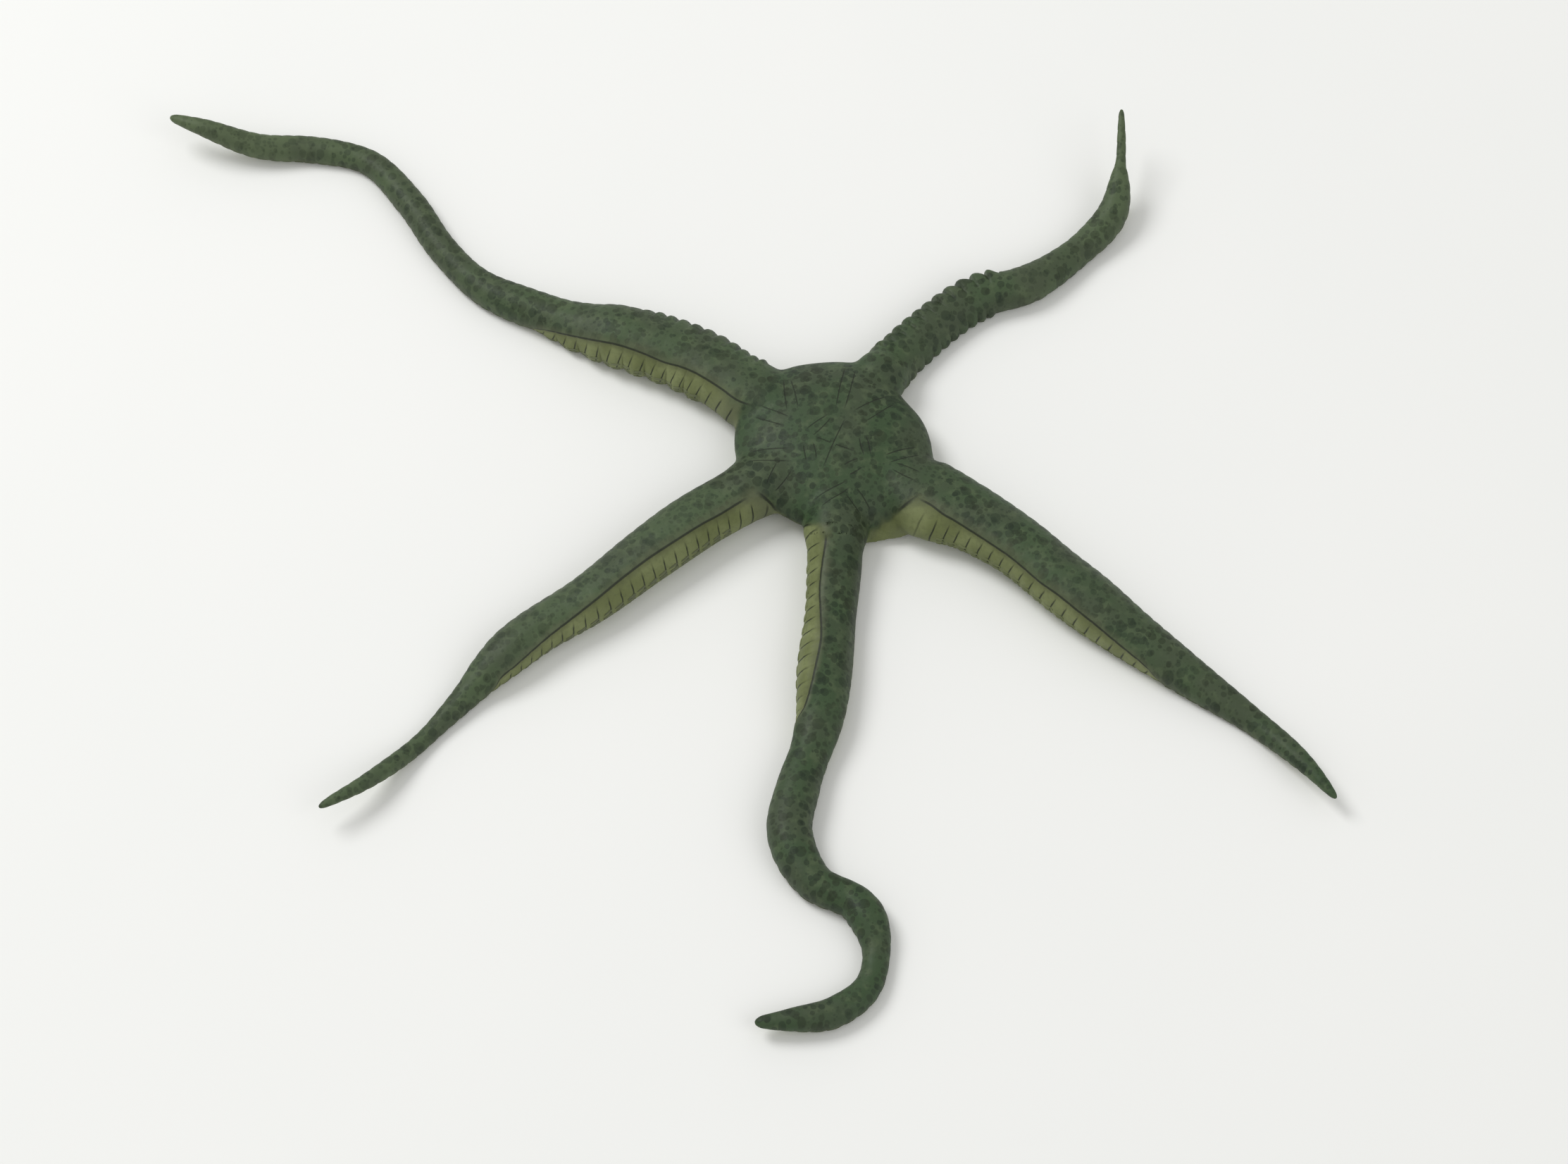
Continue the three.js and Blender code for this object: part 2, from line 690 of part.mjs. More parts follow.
// A jaw points at the middle of the mouth, with a tooth at its tip and pegs along both its sides
function jaw(bearing) {
  const outline = new THREE.Shape([
    new THREE.Vector2(JAW.tip, 0),
    new THREE.Vector2(JAW.shoulder, -JAW.shoulderHalf),
    new THREE.Vector2(JAW.back, -JAW.backHalf),
    new THREE.Vector2(JAW.back, JAW.backHalf),
    new THREE.Vector2(JAW.shoulder, JAW.shoulderHalf),
  ]);
  const blade = new THREE.ExtrudeGeometry(outline, {
    depth: JAW.high - JAW.low - 2 * JAW_BEVEL,
    bevelThickness: JAW_BEVEL,
    bevelSize: JAW_BEVEL,
    bevelOffset: -JAW_BEVEL,
    bevelSegments: 1,
  });
  blade.translate(0, 0, JAW.low + JAW_BEVEL).rotateZ(radians(bearing));
  const place = (x, y, z) => {
    const turned = new THREE.Vector2(x, y).rotateAround(new THREE.Vector2(), radians(bearing));
    return new THREE.Vector3(DISC_CENTRE.x + turned.x, DISC_CENTRE.y + turned.y, z);
  };
  const middle = (JAW.low + JAW.high) / 2;
  const toothRoot = place(JAW.tip + TOOTH.depth, 0, middle);
  const tooth = peg(toothRoot, place(JAW.tip - TOOTH.reach, 0, middle), TOOTH.thickness);
  const pegs = [-1, 1].flatMap((side) =>
    Array.from({ length: JAW_PEG.perSide }, (_, i) => {
      const step = (i + 1) / (JAW_PEG.perSide + 0.5);
      const x = THREE.MathUtils.lerp(JAW.tip, JAW.shoulder, step);
      const y = side * JAW.shoulderHalf * step;
      const from = place(x, y / 2, middle);
      const end = place(x, y + side * JAW_PEG.stand, middle - JAW_PEG.below);
      return peg(from, end, JAW_PEG.thickness);
    }),
  );
  return largest(joined([solid(blade.translate(DISC_CENTRE.x, DISC_CENTRE.y, 0)), tooth, ...pegs]));
}

// Scene

const brittleStar = new THREE.Group();

function addNode(name, body, look) {
  const material = new THREE.MeshStandardMaterial(MATERIALS[look]);
  const mesh = new THREE.Mesh(geometryOf(body), material);
  mesh.name = name;
  brittleStar.add(mesh);
}

addNode("disc_top", discTop, "upper");
addNode("disc_underside", discUnderside, "under");
jawBearings.forEach((bearing, i) => addNode("jaw_" + (i + 1), jaw(bearing), "jaw"));
for (const arm of ARMS) {
  for (const { name, body } of armLengths(arm)) addNode(name, body, "upper");
}

export default brittleStar;
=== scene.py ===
# %% [markdown]
# # A brittle star at rest, life size
# A brittle star is a flat disc with five long thin arms, and this one is a smooth-skinned kind: soft dark
# green skin above, pale yellow green below, with no long spines to be seen.  The measured solids come
# first.  They give the pose and the true size, and every piece made here lies where they are.
# All the shapes below are worked out in millimetres, and each mesh is brought to metres as it is made.

# %% Load the measured solids
import math

import bmesh
import bpy
import numpy as np
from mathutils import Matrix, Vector


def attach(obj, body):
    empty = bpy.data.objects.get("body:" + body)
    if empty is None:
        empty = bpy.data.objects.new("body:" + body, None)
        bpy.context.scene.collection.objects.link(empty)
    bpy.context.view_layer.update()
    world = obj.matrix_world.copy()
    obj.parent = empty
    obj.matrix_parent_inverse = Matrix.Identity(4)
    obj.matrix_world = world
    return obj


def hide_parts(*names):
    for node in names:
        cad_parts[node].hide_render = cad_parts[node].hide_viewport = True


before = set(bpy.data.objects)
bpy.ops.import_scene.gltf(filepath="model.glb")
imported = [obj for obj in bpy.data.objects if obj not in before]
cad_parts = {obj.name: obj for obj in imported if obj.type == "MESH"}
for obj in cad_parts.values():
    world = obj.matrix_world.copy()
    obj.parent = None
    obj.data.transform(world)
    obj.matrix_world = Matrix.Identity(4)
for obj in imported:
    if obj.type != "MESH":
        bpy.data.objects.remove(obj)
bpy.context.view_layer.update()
MM = 0.001

# %% [markdown]
# ## The camera
# The picture looks down at the animal from 60 degrees above the floor, with little perspective.  A short
# lens close by would make the near arms too large, so the lens is long and stands about 0.7 m away.

# %% Camera
CAMERA_PLACE = np.array([7.3, -368.7, 633.5])
LOOKS_DOWN = 60


def placed(name, data):
    """A new object in the scene."""
    thing = bpy.data.objects.new(name, data)
    bpy.context.collection.objects.link(thing)
    return thing


lens = bpy.data.cameras.new("camera")
lens.lens, lens.sensor_width = 120, 36
lens.clip_start, lens.clip_end = 0.01, 20
camera = placed("camera", lens)
camera.location = CAMERA_PLACE * MM
camera.rotation_euler = (math.radians(90 - LOOKS_DOWN), 0, 0)
bpy.context.scene.camera = camera
print(f"camera {camera.location.z / MM:.0f} mm above the floor")

# %% [markdown]
# ## The five arms as numbers
# An arm is a tapering tube of flesh on a chain of small bones, and it bends in every direction.  It could
# be sculpted by hand, or a curve could get a bevel, but then no point of the skin would know where on the
# arm it lies.  Here a line runs along each arm's sole and a table says how wide the arm is on the way, so
# that skin, plates, spines and colours can all ask for the same place by its share of the length.
#
# - The heading is the direction in which the arm leaves the mouth.  The route runs on from there, in
#   millimetres from the middle of the disc, with the lift over the floor last.
# - The roll turns the right flank up (the left one where it is negative) and ends at a share of the length.
# - The ridge is where the dark back ends and the pale flank begins, as degrees from the crest.
# - A flare says from where to where the side plates stand out, by how many millimetres, in runs of how many
#   plates, how far each leans towards the arm's tip (over 1) or the disc (under 1) and from which angle on,
#   for the right side (1) and the left (-1).
# - Strokes are painted shade in the grooves (sutures) between the plates on the pale flank: from and to which
#   share they show, and between which bands of the flank.  The slant says how far they lean towards the tip
#   on their way down, in plates.
# - Tones say how light the back is.  The pale start is how far outside the disc the flank turns pale, and
#   the line start how far along the arm the line of painted shade along the ridge begins, both in
#   millimetres.

# %% The arms: where they run, how wide they are and how they lie
DISC_CENTRE = np.array([14.4, 18.0, 0.0])
ARM_START_RADIUS = 5.8
ARM_ROOT = 10.2
BARE_TIP = 1.4

ARMS = {
    "far_left": dict(
        heading=139, plates=56, roll=-24, roll_end=0.39,
        route=[(-12.5, 8.3, 0), (-19.4, 13.4, 0), (-27.1, 16.8, 0), (-34.9, 19.6, 0), (-42.7, 23, 0),
               (-50.4, 27.1, 0), (-56.6, 34, 0), (-61.6, 42.1, 0), (-67.8, 49.2, 0), (-75.9, 51.4, 0),
               (-84.1, 51.3, 1.3), (-91.8, 52.7, 4.2), (-96.9, 54.4, 5)],
        widths=[(0, 5.4), (0.07, 10.8), (0.1, 9.7), (0.16, 9.3), (0.275, 8.5), (0.315, 6.9), (0.355, 5.7),
                (0.43, 5.1), (0.51, 4.1), (0.64, 4), (0.74, 3.5), (0.8, 3.7), (0.88, 3.4), (0.95, 2.5),
                (1, 1.1)],
        ridge=[(0, 62), (0.09, 64), (0.13, 66), (0.17, 71), (0.195, 75), (0.23, 72), (0.28, 68), (0.33, 70),
               (0.365, 81), (0.4, 116), (0.45, 122), (1, 122)],
        flares={1: (0.06, 0.255, 0.5, 1, 1.5, 5), -1: (0.13, 0.37, 0.7, 2, 0.85, 78)},
        strokes=(0.05, 0.39, 1.3, 2.25), slant=0.55,
        tones=[(0, 0.3), (0.35, 0.35), (0.7, 0.55), (0.85, 0.9), (1, 1.3)],
        pale_start=-0.8, line_start=6.8,
    ),
    "far_right": dict(
        heading=60, plates=30, roll=-17, roll_end=0.8,
        route=[(7.8, 12.6, 0), (13.6, 19.2, 0), (20.2, 24.7, 0), (28.3, 27.7, 0), (35.4, 33.4, 0),
               (40.6, 39.3, 1.2), (41.8, 45.5, 5), (42.1, 53.8, 8)],
        widths=[(0, 5), (0.1, 8), (0.15, 6), (0.25, 5.3), (0.4, 5.2), (0.5, 5.3), (0.58, 4.6),
                (0.65, 4.1), (0.72, 4.3), (0.77, 4.1), (0.825, 3.1), (0.855, 2.2), (0.88, 1.4),
                (0.94, 1.15), (1, 0.7)],
        ridge=[(0, 100), (0.12, 116), (1, 122)],
        flares={1: (0.07, 0.43, 0.65, 1, 1.1, 50), -1: (0.05, 0.455, 0.95, 1, 0.5, 25)},
        strokes=(0.1, 0.5, 1.2, 2), slant=0.4,
        tones=[(0, 0.25), (0.46, 0.25), (0.5, 0.75), (0.53, 0.6), (0.57, 0.4), (0.7, 0.6), (0.9, 0.85),
               (1, 1.2)],
        pale_start=0, line_start=9,
    ),
    "near_right": dict(
        heading=-21.5, plates=37, roll=28, roll_end=0.62,
        route=[(11.9, -8.6, 0), (19.1, -12.5, 0), (25.8, -17.3, 0), (31.8, -23, 0), (41, -31, 0),
               (50.4, -38.3, 0), (58.2, -44.5, 0.1), (63.8, -50.8, 1.8), (68, -56.8, 3)],
        widths=[(0, 5.4), (0.11, 11.9), (0.15, 11.7), (0.2, 10.1), (0.31, 8.7), (0.45, 8.4), (0.55, 7),
                (0.69, 5), (0.79, 3.5), (0.89, 2.7), (0.96, 1.7), (1, 0.8)],
        ridge=[(0, 50), (0.14, 54), (0.18, 64), (0.24, 72), (0.3, 76), (0.38, 76), (0.42, 70), (0.46, 66),
               (0.51, 62), (0.58, 65), (0.61, 75), (0.65, 116), (0.7, 122), (1, 122)],
        flares={1: (0.14, 0.62, 0.05, 1, 1, 75), -1: (0.14, 0.62, 0.08, 1, 1, 20)},
        strokes=(0.125, 0.62, 1.27, 2.2), slant=-0.35,
        tones=[(0, 0.1), (0.5, 0.2), (0.75, 0.25), (0.9, 0), (1, 0)],
        pale_start=0.8, line_start=11,
    ),
    "front": dict(
        heading=-86.5, plates=45, roll=48, roll_end=0.41,
        route=[(0.1, -15.5, 0), (-0.4, -25, 0), (-1.5, -36, 0), (-2.5, -45.3, 0), (-5.1, -54.1, 0),
               (-6.3, -61.6, 0), (-3.1, -68.6, 0), (2.8, -72.1, 0), (5.2, -77.6, 0), (4.1, -84.1, 0),
               (-0.5, -88, 0), (-6.2, -89.4, 1), (-11, -90, 2)],
        widths=[(0, 5), (0.08, 9.3), (0.12, 7.9), (0.175, 7.3), (0.22, 7), (0.3, 7.3), (0.36, 6.7),
                (0.43, 5.4), (0.5, 5.8), (0.57, 5.9), (0.65, 4.8), (0.69, 4.6), (0.73, 4.9), (0.78, 3.6),
                (0.82, 3.5), (0.89, 4), (0.94, 3.3), (1, 1.4)],
        ridge=[(0, 60), (0.12, 66), (0.17, 73), (0.2, 74), (0.24, 65), (0.26, 57), (0.28, 49), (0.31, 42),
               (0.35, 38), (0.38, 46), (0.405, 84), (0.44, 118), (1, 122)],
        flares={1: (0.12, 0.41, 0.06, 1, 1, 65), -1: (0.12, 0.41, 0.08, 1, 1, 50)},
        strokes=(0.08, 0.4, 1.3, 2.2), slant=0.3,
        tones=[(0, 0.05), (0.4, 0.05), (0.7, 0), (1, 0)],
        pale_start=1.3, line_start=11.3,
    ),
    "near_left": dict(
        heading=209, plates=39, roll=-35, roll_end=0.66,
        route=[(-12.2, -8.2, 0), (-19, -12.7, 0), (-26.3, -18.6, 0), (-34, -25.2, 0), (-41.7, -30.5, 0),
               (-47.6, -36, 0), (-52.9, -42.1, 0), (-58.3, -48.4, 0.5), (-64.4, -54.6, 2.8),
               (-70.2, -58.7, 4)],
        widths=[(0, 5), (0.07, 9.8), (0.12, 8.6), (0.25, 8.4), (0.39, 7.5), (0.5, 6.5), (0.58, 6.1),
                (0.63, 5), (0.67, 3.8), (0.72, 2.9), (0.77, 2.3), (0.87, 2.2), (0.96, 1.5), (1, 0.8)],
        ridge=[(0, 66), (0.13, 70), (0.18, 72), (0.21, 70), (0.25, 68), (0.33, 64), (0.43, 64), (0.5, 67),
               (0.6, 66), (0.63, 68), (0.66, 112), (0.7, 122), (1, 122)],
        flares={1: (0.14, 0.62, 0.08, 1, 1, 20), -1: (0.14, 0.66, 0.05, 1, 1, 75)},
        strokes=(0.08, 0.64, 1.32, 2.15), slant=0.4,
        tones=[(0, 0.35), (0.5, 0.45), (1, 0.5)],
        pale_start=0.4, line_start=11,
    ),
}
print(f"{len(ARMS)} arms with {sum(a['plates'] for a in ARMS.values())} rows of side plates")

# %% [markdown]
# ### A smooth line, and a smooth value along it
# Straight steps between the points would show as kinks.  A Catmull-Rom line passes through every point,
# and in its centripetal form it doesn't loop where two points lie close.  It is then cut into even steps,
# so that a share of the length is simply a share of the list.  Widths are read with the same kind of
# smooth blend, because a straight one would leave rings on the skin wherever the table has a row.
# A smooth step is the third tool: most bare numbers below are its pairs, where a change begins and where
# it is complete.

# %% Smooth lines and values
LINE_STEPS = 80


def unit(vectors):
    return vectors / np.linalg.norm(vectors, axis=-1, keepdims=True)


def through(pairs, x):
    """A smooth value at x through pairs of place and value."""
    places, values = np.array(pairs, float).T
    last = len(places) - 1
    low = np.clip(np.searchsorted(places, x) - 1, 0, last - 1)
    before, after = np.maximum(np.arange(last + 1) - 1, 0), np.minimum(np.arange(last + 1) + 1, last)
    slopes = (values[after] - values[before]) / (places[after] - places[before])
    span = places[low + 1] - places[low]
    t = np.clip((x - places[low]) / span, 0, 1)
    rise = t * t * (3 - 2 * t)
    bend = span * (slopes[low] * t * (1 - t) ** 2 - slopes[low + 1] * t * t * (1 - t))
    return values[low] * (1 - rise) + values[low + 1] * rise + bend


def smooth_step(x, low, high):
    """0 below low, 1 above high and a soft rise between."""
    t = np.clip((x - low) / (high - low), 0, 1)
    return t * t * (3 - 2 * t)


def line_through(points, count):
    """Evenly spaced points on a centripetal Catmull-Rom line, and its length."""
    p = np.array(points, float)
    p = np.vstack([2 * p[0] - p[1], p, 2 * p[-1] - p[-2]])
    t = np.linspace(0, 1, LINE_STEPS, endpoint=False)[:, None]
    pieces = []
    for a, b, c, d in zip(p, p[1:], p[2:], p[3:]):
        ab, bc, cd = (np.linalg.norm(v) ** 0.5 for v in (b - a, c - b, d - c))
        leave = bc * ((b - a) / ab - (c - a) / (ab + bc) + (c - b) / bc)
        arrive = bc * ((c - b) / bc - (d - b) / (bc + cd) + (d - c) / cd)
        pieces.append(b + t * leave + t**2 * (3 * (c - b) - 2 * leave - arrive)
                      + t**3 * (leave + arrive - 2 * (c - b)))
    line = np.vstack([*pieces, p[-2]])
    run = np.concatenate([[0], np.cumsum(np.linalg.norm(np.diff(line, axis=0), axis=1))])
    even = np.linspace(0, run[-1], count)
    return np.stack([np.interp(even, run, line[:, k]) for k in range(3)], axis=1), run[-1]


round_corner = line_through([(0, 0, 0), (1, 0, 0), (1, 1, 0)], 5)[1]
print(f"a line round the corner of two steps of 1 is {round_corner:.2f} long")

# %% [markdown]
# ### The section, and the class that answers for an arm
# Cut across, an arm is nearly round, a little broader than tall, with a flat sole.  Each arm also lies
# rolled over to one side near the disc, which turns its pale flank up into view.  The class keeps the
# arm's own axes at even steps: along it, out to its right and up to its crest.  Any place on the skin is
# then a share of the length and an angle from the crest, positive on the right.

# %% One arm
SECTION = [(0, 0.92), (38, 0.97), (70, 1.02), (92, 0.99), (118, 1), (150, 0.95), (180, 0.9)]
BELLY = 0.76
TALLEST_ARM = 7.5
TIP_ROUNDING = 1.3
TURNING_REACH = 0.004


class Arm:
    """An arm's line, widths and axes, in millimetres from the origin of the frame."""

    STEPS = 1601

    def __init__(self, name, heading, plates, roll, roll_end, route, widths, **facts):
        self.name, self.plates, self.shown = name, plates, 1 if roll > 0 else -1
        for key, value in facts.items():
            setattr(self, key, value)
        turn = math.radians(heading)
        start = ARM_START_RADIUS * np.array([math.cos(turn), math.sin(turn), 0])
        line, self.length = line_through(DISC_CENTRE + np.array([start, *route]), self.STEPS)
        line[:, 2] = line[:, 2].clip(min=0)
        share = np.linspace(0, 1, self.STEPS)
        half = through(widths, share) / 2
        squat = np.minimum(1, TALLEST_ARM / ((BELLY + SECTION[1][1]) * half))
        middle = line + np.outer(BELLY * half * squat, [0, 0, 1])
        reach = round(TURNING_REACH * self.STEPS)
        ends = np.arange(self.STEPS)
        along = unit(middle[(ends + reach).clip(max=self.STEPS - 1)] - middle[(ends - reach).clip(min=0)])
        level = unit(np.cross(along, [0, 0, 1]))
        self.rolled = roll * (1 - smooth_step(share, 0.55 * roll_end, roll_end))
        tilt = -np.radians(self.rolled)[:, None]
        right = level * np.cos(tilt) + np.cross(along, level) * np.sin(tilt)
        self.root_share = ARM_ROOT / self.length
        self.plate_share = (1 - BARE_TIP / self.length - self.root_share) / plates
        self.sole, self.half, self.squat, self.middle = line, half, squat, middle
        self.along, self.right, self.crest = along, right, np.cross(right, along)

    def at(self, values, share):
        """One of the lists above at any shares of the length."""
        place = np.clip(share, 0, 1) * (self.STEPS - 1)
        low = np.minimum(place.astype(int), self.STEPS - 2)
        t = place - low
        t = t[..., None] if values.ndim > 1 else t
        return values[low] * (1 - t) + values[low + 1] * t

    def plate_at(self, share):
        return (share - self.root_share) / self.plate_share

    def share_at(self, plate):
        return self.root_share + plate * self.plate_share

    def skin(self, share, angle, swell=0.0):
        """Points of the skin, lifted off it by swell, with the sole pressed flat."""
        left = (1 - share) * self.length
        tip = np.sqrt(1 - (1 - (left / TIP_ROUNDING).clip(0, 1)) ** 2)
        reach = through(SECTION, np.abs(angle)) * self.at(self.half, share) * tip + swell
        turn = np.radians(angle)
        out = self.at(self.right, share) * (reach * np.sin(turn))[..., None]
        out = out + self.at(self.crest, share) * (reach * np.cos(turn))[..., None]
        out[..., 2] *= self.at(self.squat, share)
        point = self.at(self.middle, share) + out
        point[..., 2] = np.maximum(point[..., 2], self.at(self.sole, share)[..., 2])
        return point


arms = [Arm(name, **facts) for name, facts in ARMS.items()]
for arm in arms:
    print(f"{arm.name}: {arm.length:.0f} mm long, a plate every {arm.plate_share * arm.length:.2f} mm")

# %% [markdown]
# ## The relief of an arm
# Under the skin lie rows of small plates, one on each side for every bone of the arm.  They show as low
# cushions with a fine groove between each two, and where an arm bends or lies on its side their far ends
# stand out like steps.  The dark back ends in a soft ridge that stands a little over the pale flank.  A
# texture could fake all this, but the steps break the outline, so they are made as real form: one function
# says how far the skin stands out at any place on the arm.

# %% How far the skin of an arm stands out
RESTING_FLARE = 0.05
FLARE_SPREAD = 42
FLARE_FADES = (135, 175)
LOWER_EDGE = 130
NARROWEST_FLANK = 14
HIDDEN_RIDGE = 104
RIDGE_STEP = 0.2
GROOVE = 0.07
CUSHION = 0.06
ROOT_CUT = 11.6


def ridge_at(arm, share, side):
    """The ridge's angle from the crest, on the side that shows or on the one that it hides."""
    seen = through(arm.ridge, share)
    hidden = np.maximum(seen, HIDDEN_RIDGE - np.abs(arm.at(arm.rolled, share)))
    return np.where(side == arm.shown, seen, hidden)


def lower_at(ridge):
    return np.maximum(LOWER_EDGE, ridge + NARROWEST_FLANK)


def band_of(arm, share, angle):
    """0 at the crest, 1 at the ridge, 2 at the lower edge of the flank and 3 in the middle of the sole."""
    turned = np.abs(angle)
    ridge = ridge_at(arm, share, np.where(angle < 0, -1, 1))
    lower = lower_at(ridge)
    return np.where(turned < ridge, turned / ridge,
                    np.where(turned < lower, 1 + (turned - ridge) / (lower - ridge),
                             2 + (turned - lower) / (180 - lower)))


def angle_of(arm, share, band, side):
    ridge = ridge_at(arm, share, side)
    lower = lower_at(ridge)
    return side * np.where(band < 1, band * ridge,
                           np.where(band < 2, ridge + (band - 1) * (lower - ridge),
                                    lower + (band - 2) * (180 - lower)))


def slanted(arm, share, band):
    """The place in the row of plates, whose grooves lean to one side on their way down the flank."""
    return arm.plate_at(share) - arm.slant * (np.clip(band, 1, 2.2) - 1)


def flared(arm, share, angle):
    """How far the side plates stand out, most where the table gives them a flare."""
    plate, swell = arm.plate_at(share), np.zeros_like(share)
    for side, (start, stop, size, run, lean, begin) in arm.flares.items():
        inside = (smooth_step(share, start - 0.02, start + 0.02)
                  * (1 - smooth_step(share, stop - 0.03, stop + 0.01)))
        shape = np.sin(math.pi * (plate / run - np.floor(plate / run)) ** lean) ** 0.6
        flank = (smooth_step(side * angle, begin, begin + FLARE_SPREAD)
                 * (1 - smooth_step(side * angle, *FLARE_FADES)))
        swell += (RESTING_FLARE + (size - RESTING_FLARE) * inside) * shape * flank
    return swell


def relief(arm, share, angle, band):
    """How far the skin stands out: the flares, and on the bare arm the ridge, cushions and grooves."""
    part = slanted(arm, share, band) % 1
    grown = smooth_step(share * arm.length, ROOT_CUT, ROOT_CUT + 3) * (1 - smooth_step(share, 0.9, 1))
    slim = np.minimum(1, arm.at(arm.half, share) / 3)
    flank = smooth_step(band, 0.97, 1.06) * (1 - smooth_step(band, 2.1, 2.6))
    groove = 1 - smooth_step(np.minimum(part, 1 - part), 0.01, 0.09)
    over = smooth_step(band, 0.5, 0.93) * (1 - smooth_step(band, 0.99, 1.09))
    cushion = np.sin(math.pi * part) ** 0.8
    form = RIDGE_STEP * over + flank * (CUSHION * cushion - GROOVE * groove)
    form += 0.35 * CUSHION * cushion * smooth_step(band, 0, 0.4) * (1 - smooth_step(band, 0.8, 1))
    return flared(arm, share, angle) + grown * slim * form


def skin_place(arm, share, angle, lift=0.0):
    """Points of the finished skin, or lift over it."""
    return arm.skin(share, angle, relief(arm, share, angle, band_of(arm, share, angle)) + lift)


print(f"the skin stands out by up to {max(f[2] for a in arms for f in a.flares.values())} mm on a plate")

# %% [markdown]
# ## The disc, joined with the roots of the arms
# The disc is a low dome with a rounded margin, the mouth is a round hollow below, and the arms grow out
# from under the dome.  The shapes could be joined with a Boolean, but that leaves a hard line where they
# meet.  A voxel remesh makes one even skin over all the shapes that overlap, and smoothing then melts the
# places where they meet, as flesh does.

# %% Rings of points and the faces between them
def quads(count, around):
    """Four-sided faces between each two of count rings of points."""
    row = np.arange(around)
    after = np.roll(row, -1)
    return np.vstack([np.stack([row, after, around + after, around + row], axis=1) + k * around
                      for k in range(count - 1)]).tolist()


def tube(rings):
    """Points and faces of a row of rings, closed at both ends.  The faces look outwards where the rings
    turn clockwise, as seen from the first one."""
    count, around = rings.shape[:2]
    first = list(range(around))
    last = [(count - 1) * around + i for i in first]
    return rings.reshape(-1, 3), [*quads(count, around), first[::-1], last]


def joined_shapes(shapes):
    points, faces, start = [], [], 0
    for some_points, some_faces in shapes:
        points.append(some_points)
        faces += [[i + start for i in face] for face in some_faces]
        start += len(some_points)
    return np.vstack(points), faces


def from_disc(out, across, up, bearing):
    """Points at distances outwards, across and up from the middle of the disc, turned to a bearing."""
    turn = math.radians(bearing)
    return np.stack([out * math.cos(turn) - across * math.sin(turn),
                     out * math.sin(turn) + across * math.cos(turn), up], axis=-1) + DISC_CENTRE


print(f"a tube of 3 rings of 8 points has {len(tube(np.zeros((3, 8, 3)))[1])} faces")

# %% The shapes that overlap in the disc
DISC_RADIUS = 13.9
DISC_HEIGHT = 8.4
DISC_CLEARANCE = 0.7
DISC_EDGE_HEIGHT = 3.2
DISC_EDGE = [(-180, 14.25), (-168, 14.2), (-150, 14.1), (-122, 13.85), (-110, 14.1), (-90, 14.4), (-50, 14.6),
             (-25, 14.5), (-10, 14.25), (0, 13.75), (15, 13.05), (27, 12.35), (37, 12.15), (50, 12.6),
             (70, 13.2), (95, 13.1), (105, 13.25), (120, 13.8), (150, 14.2), (180, 14.25)]
MOUTH_RADIUS, MOUTH_ROOF = 5.2, 2.0
DOME = [(0.001, 1), (0.36, 0.965), (0.65, 0.86), (0.85, 0.71), (0.96, 0.56)]
WEBS = [(-48, 9.4, (7.4, 9.2, 2.2)), (-40, 13.4, (4, 5.4, 2.9)), (-49, 15, (2.3, 4.3, 3.1))]
WEB_HEIGHT = 0.9
STUB = ROOT_CUT + 1.4


def disc_edge(bearing):
    """The disc's radius at a bearing: it bulges between some arms and is drawn in between others."""
    return through(DISC_EDGE, (np.asarray(bearing, float) + 180) % 360 - 180)


def disc_shape(around=180):
    top = [(x * DISC_RADIUS, z * DISC_HEIGHT, 0) for x, z in DOME]
    margin = [(DISC_RADIUS, DISC_EDGE_HEIGHT, 0), (0.95 * DISC_RADIUS, 1.5, 0),
              (0.84 * DISC_RADIUS, DISC_CLEARANCE, 0)]
    outside, _ = line_through(top + margin, 90)
    inside = np.array([(MOUTH_RADIUS + 0.3, DISC_CLEARANCE, 0), (MOUTH_RADIUS, DISC_CLEARANCE + 0.3, 0),
                       (MOUTH_RADIUS - 0.3, MOUTH_ROOF, 0), (0.001, MOUTH_ROOF, 0)])
    profile = np.vstack([outside, inside])
    bearing = np.linspace(0, 360, around, endpoint=False)
    wide = profile[:, :1] * (disc_edge(bearing) / DISC_RADIUS)[None, :]
    turn = np.radians(bearing)[None, :]
    height = np.broadcast_to(profile[:, 1:2], wide.shape)
    return tube(np.stack([wide * np.cos(turn), wide * np.sin(turn), height], axis=2) + DISC_CENTRE)


def web_shape(bearing, radius, half):
    """A part of the skin between the front arm and the near right one, flat under and low above."""
    up, around = np.meshgrid(np.radians(np.linspace(-89.5, 89.5, 40)), np.radians(np.arange(0, 360, 6)),
                             indexing="ij")
    x, y, z = (half[0] * np.cos(up) * np.cos(around), half[1] * np.cos(up) * np.sin(around),
               half[2] * np.sin(up))
    return tube(from_disc(x + radius, y, np.maximum(z + WEB_HEIGHT, DISC_CLEARANCE), bearing))


def near_web(points):
    """1 on and near the web, 0 away from it."""
    near = np.zeros(len(points))
    x, y, z = (points - DISC_CENTRE).T
    for bearing, radius, half in WEBS:
        turn = math.radians(bearing)
        along = x * math.cos(turn) + y * math.sin(turn) - radius
        across = y * math.cos(turn) - x * math.sin(turn)
        reach = (along / half[0]) ** 2 + (across / half[1]) ** 2 + ((z - WEB_HEIGHT) / half[2]) ** 2
        near = np.maximum(near, 1 - smooth_step(reach, 1.15, 1.6))
    return near


def stub_shape(arm, around=64, step=0.3):
    share, angle = np.meshgrid(np.arange(0, STUB, step) / arm.length,
                               np.linspace(-180, 180, around, endpoint=False), indexing="ij")
    return tube(arm.skin(share, angle))


disc_shapes = [disc_shape(), *(web_shape(*web) for web in WEBS), *(stub_shape(arm) for arm in arms)]
print(f"{len(disc_shapes)} shapes overlap in the disc")

# %% Remesh them into one skin
VOXEL = 0.29


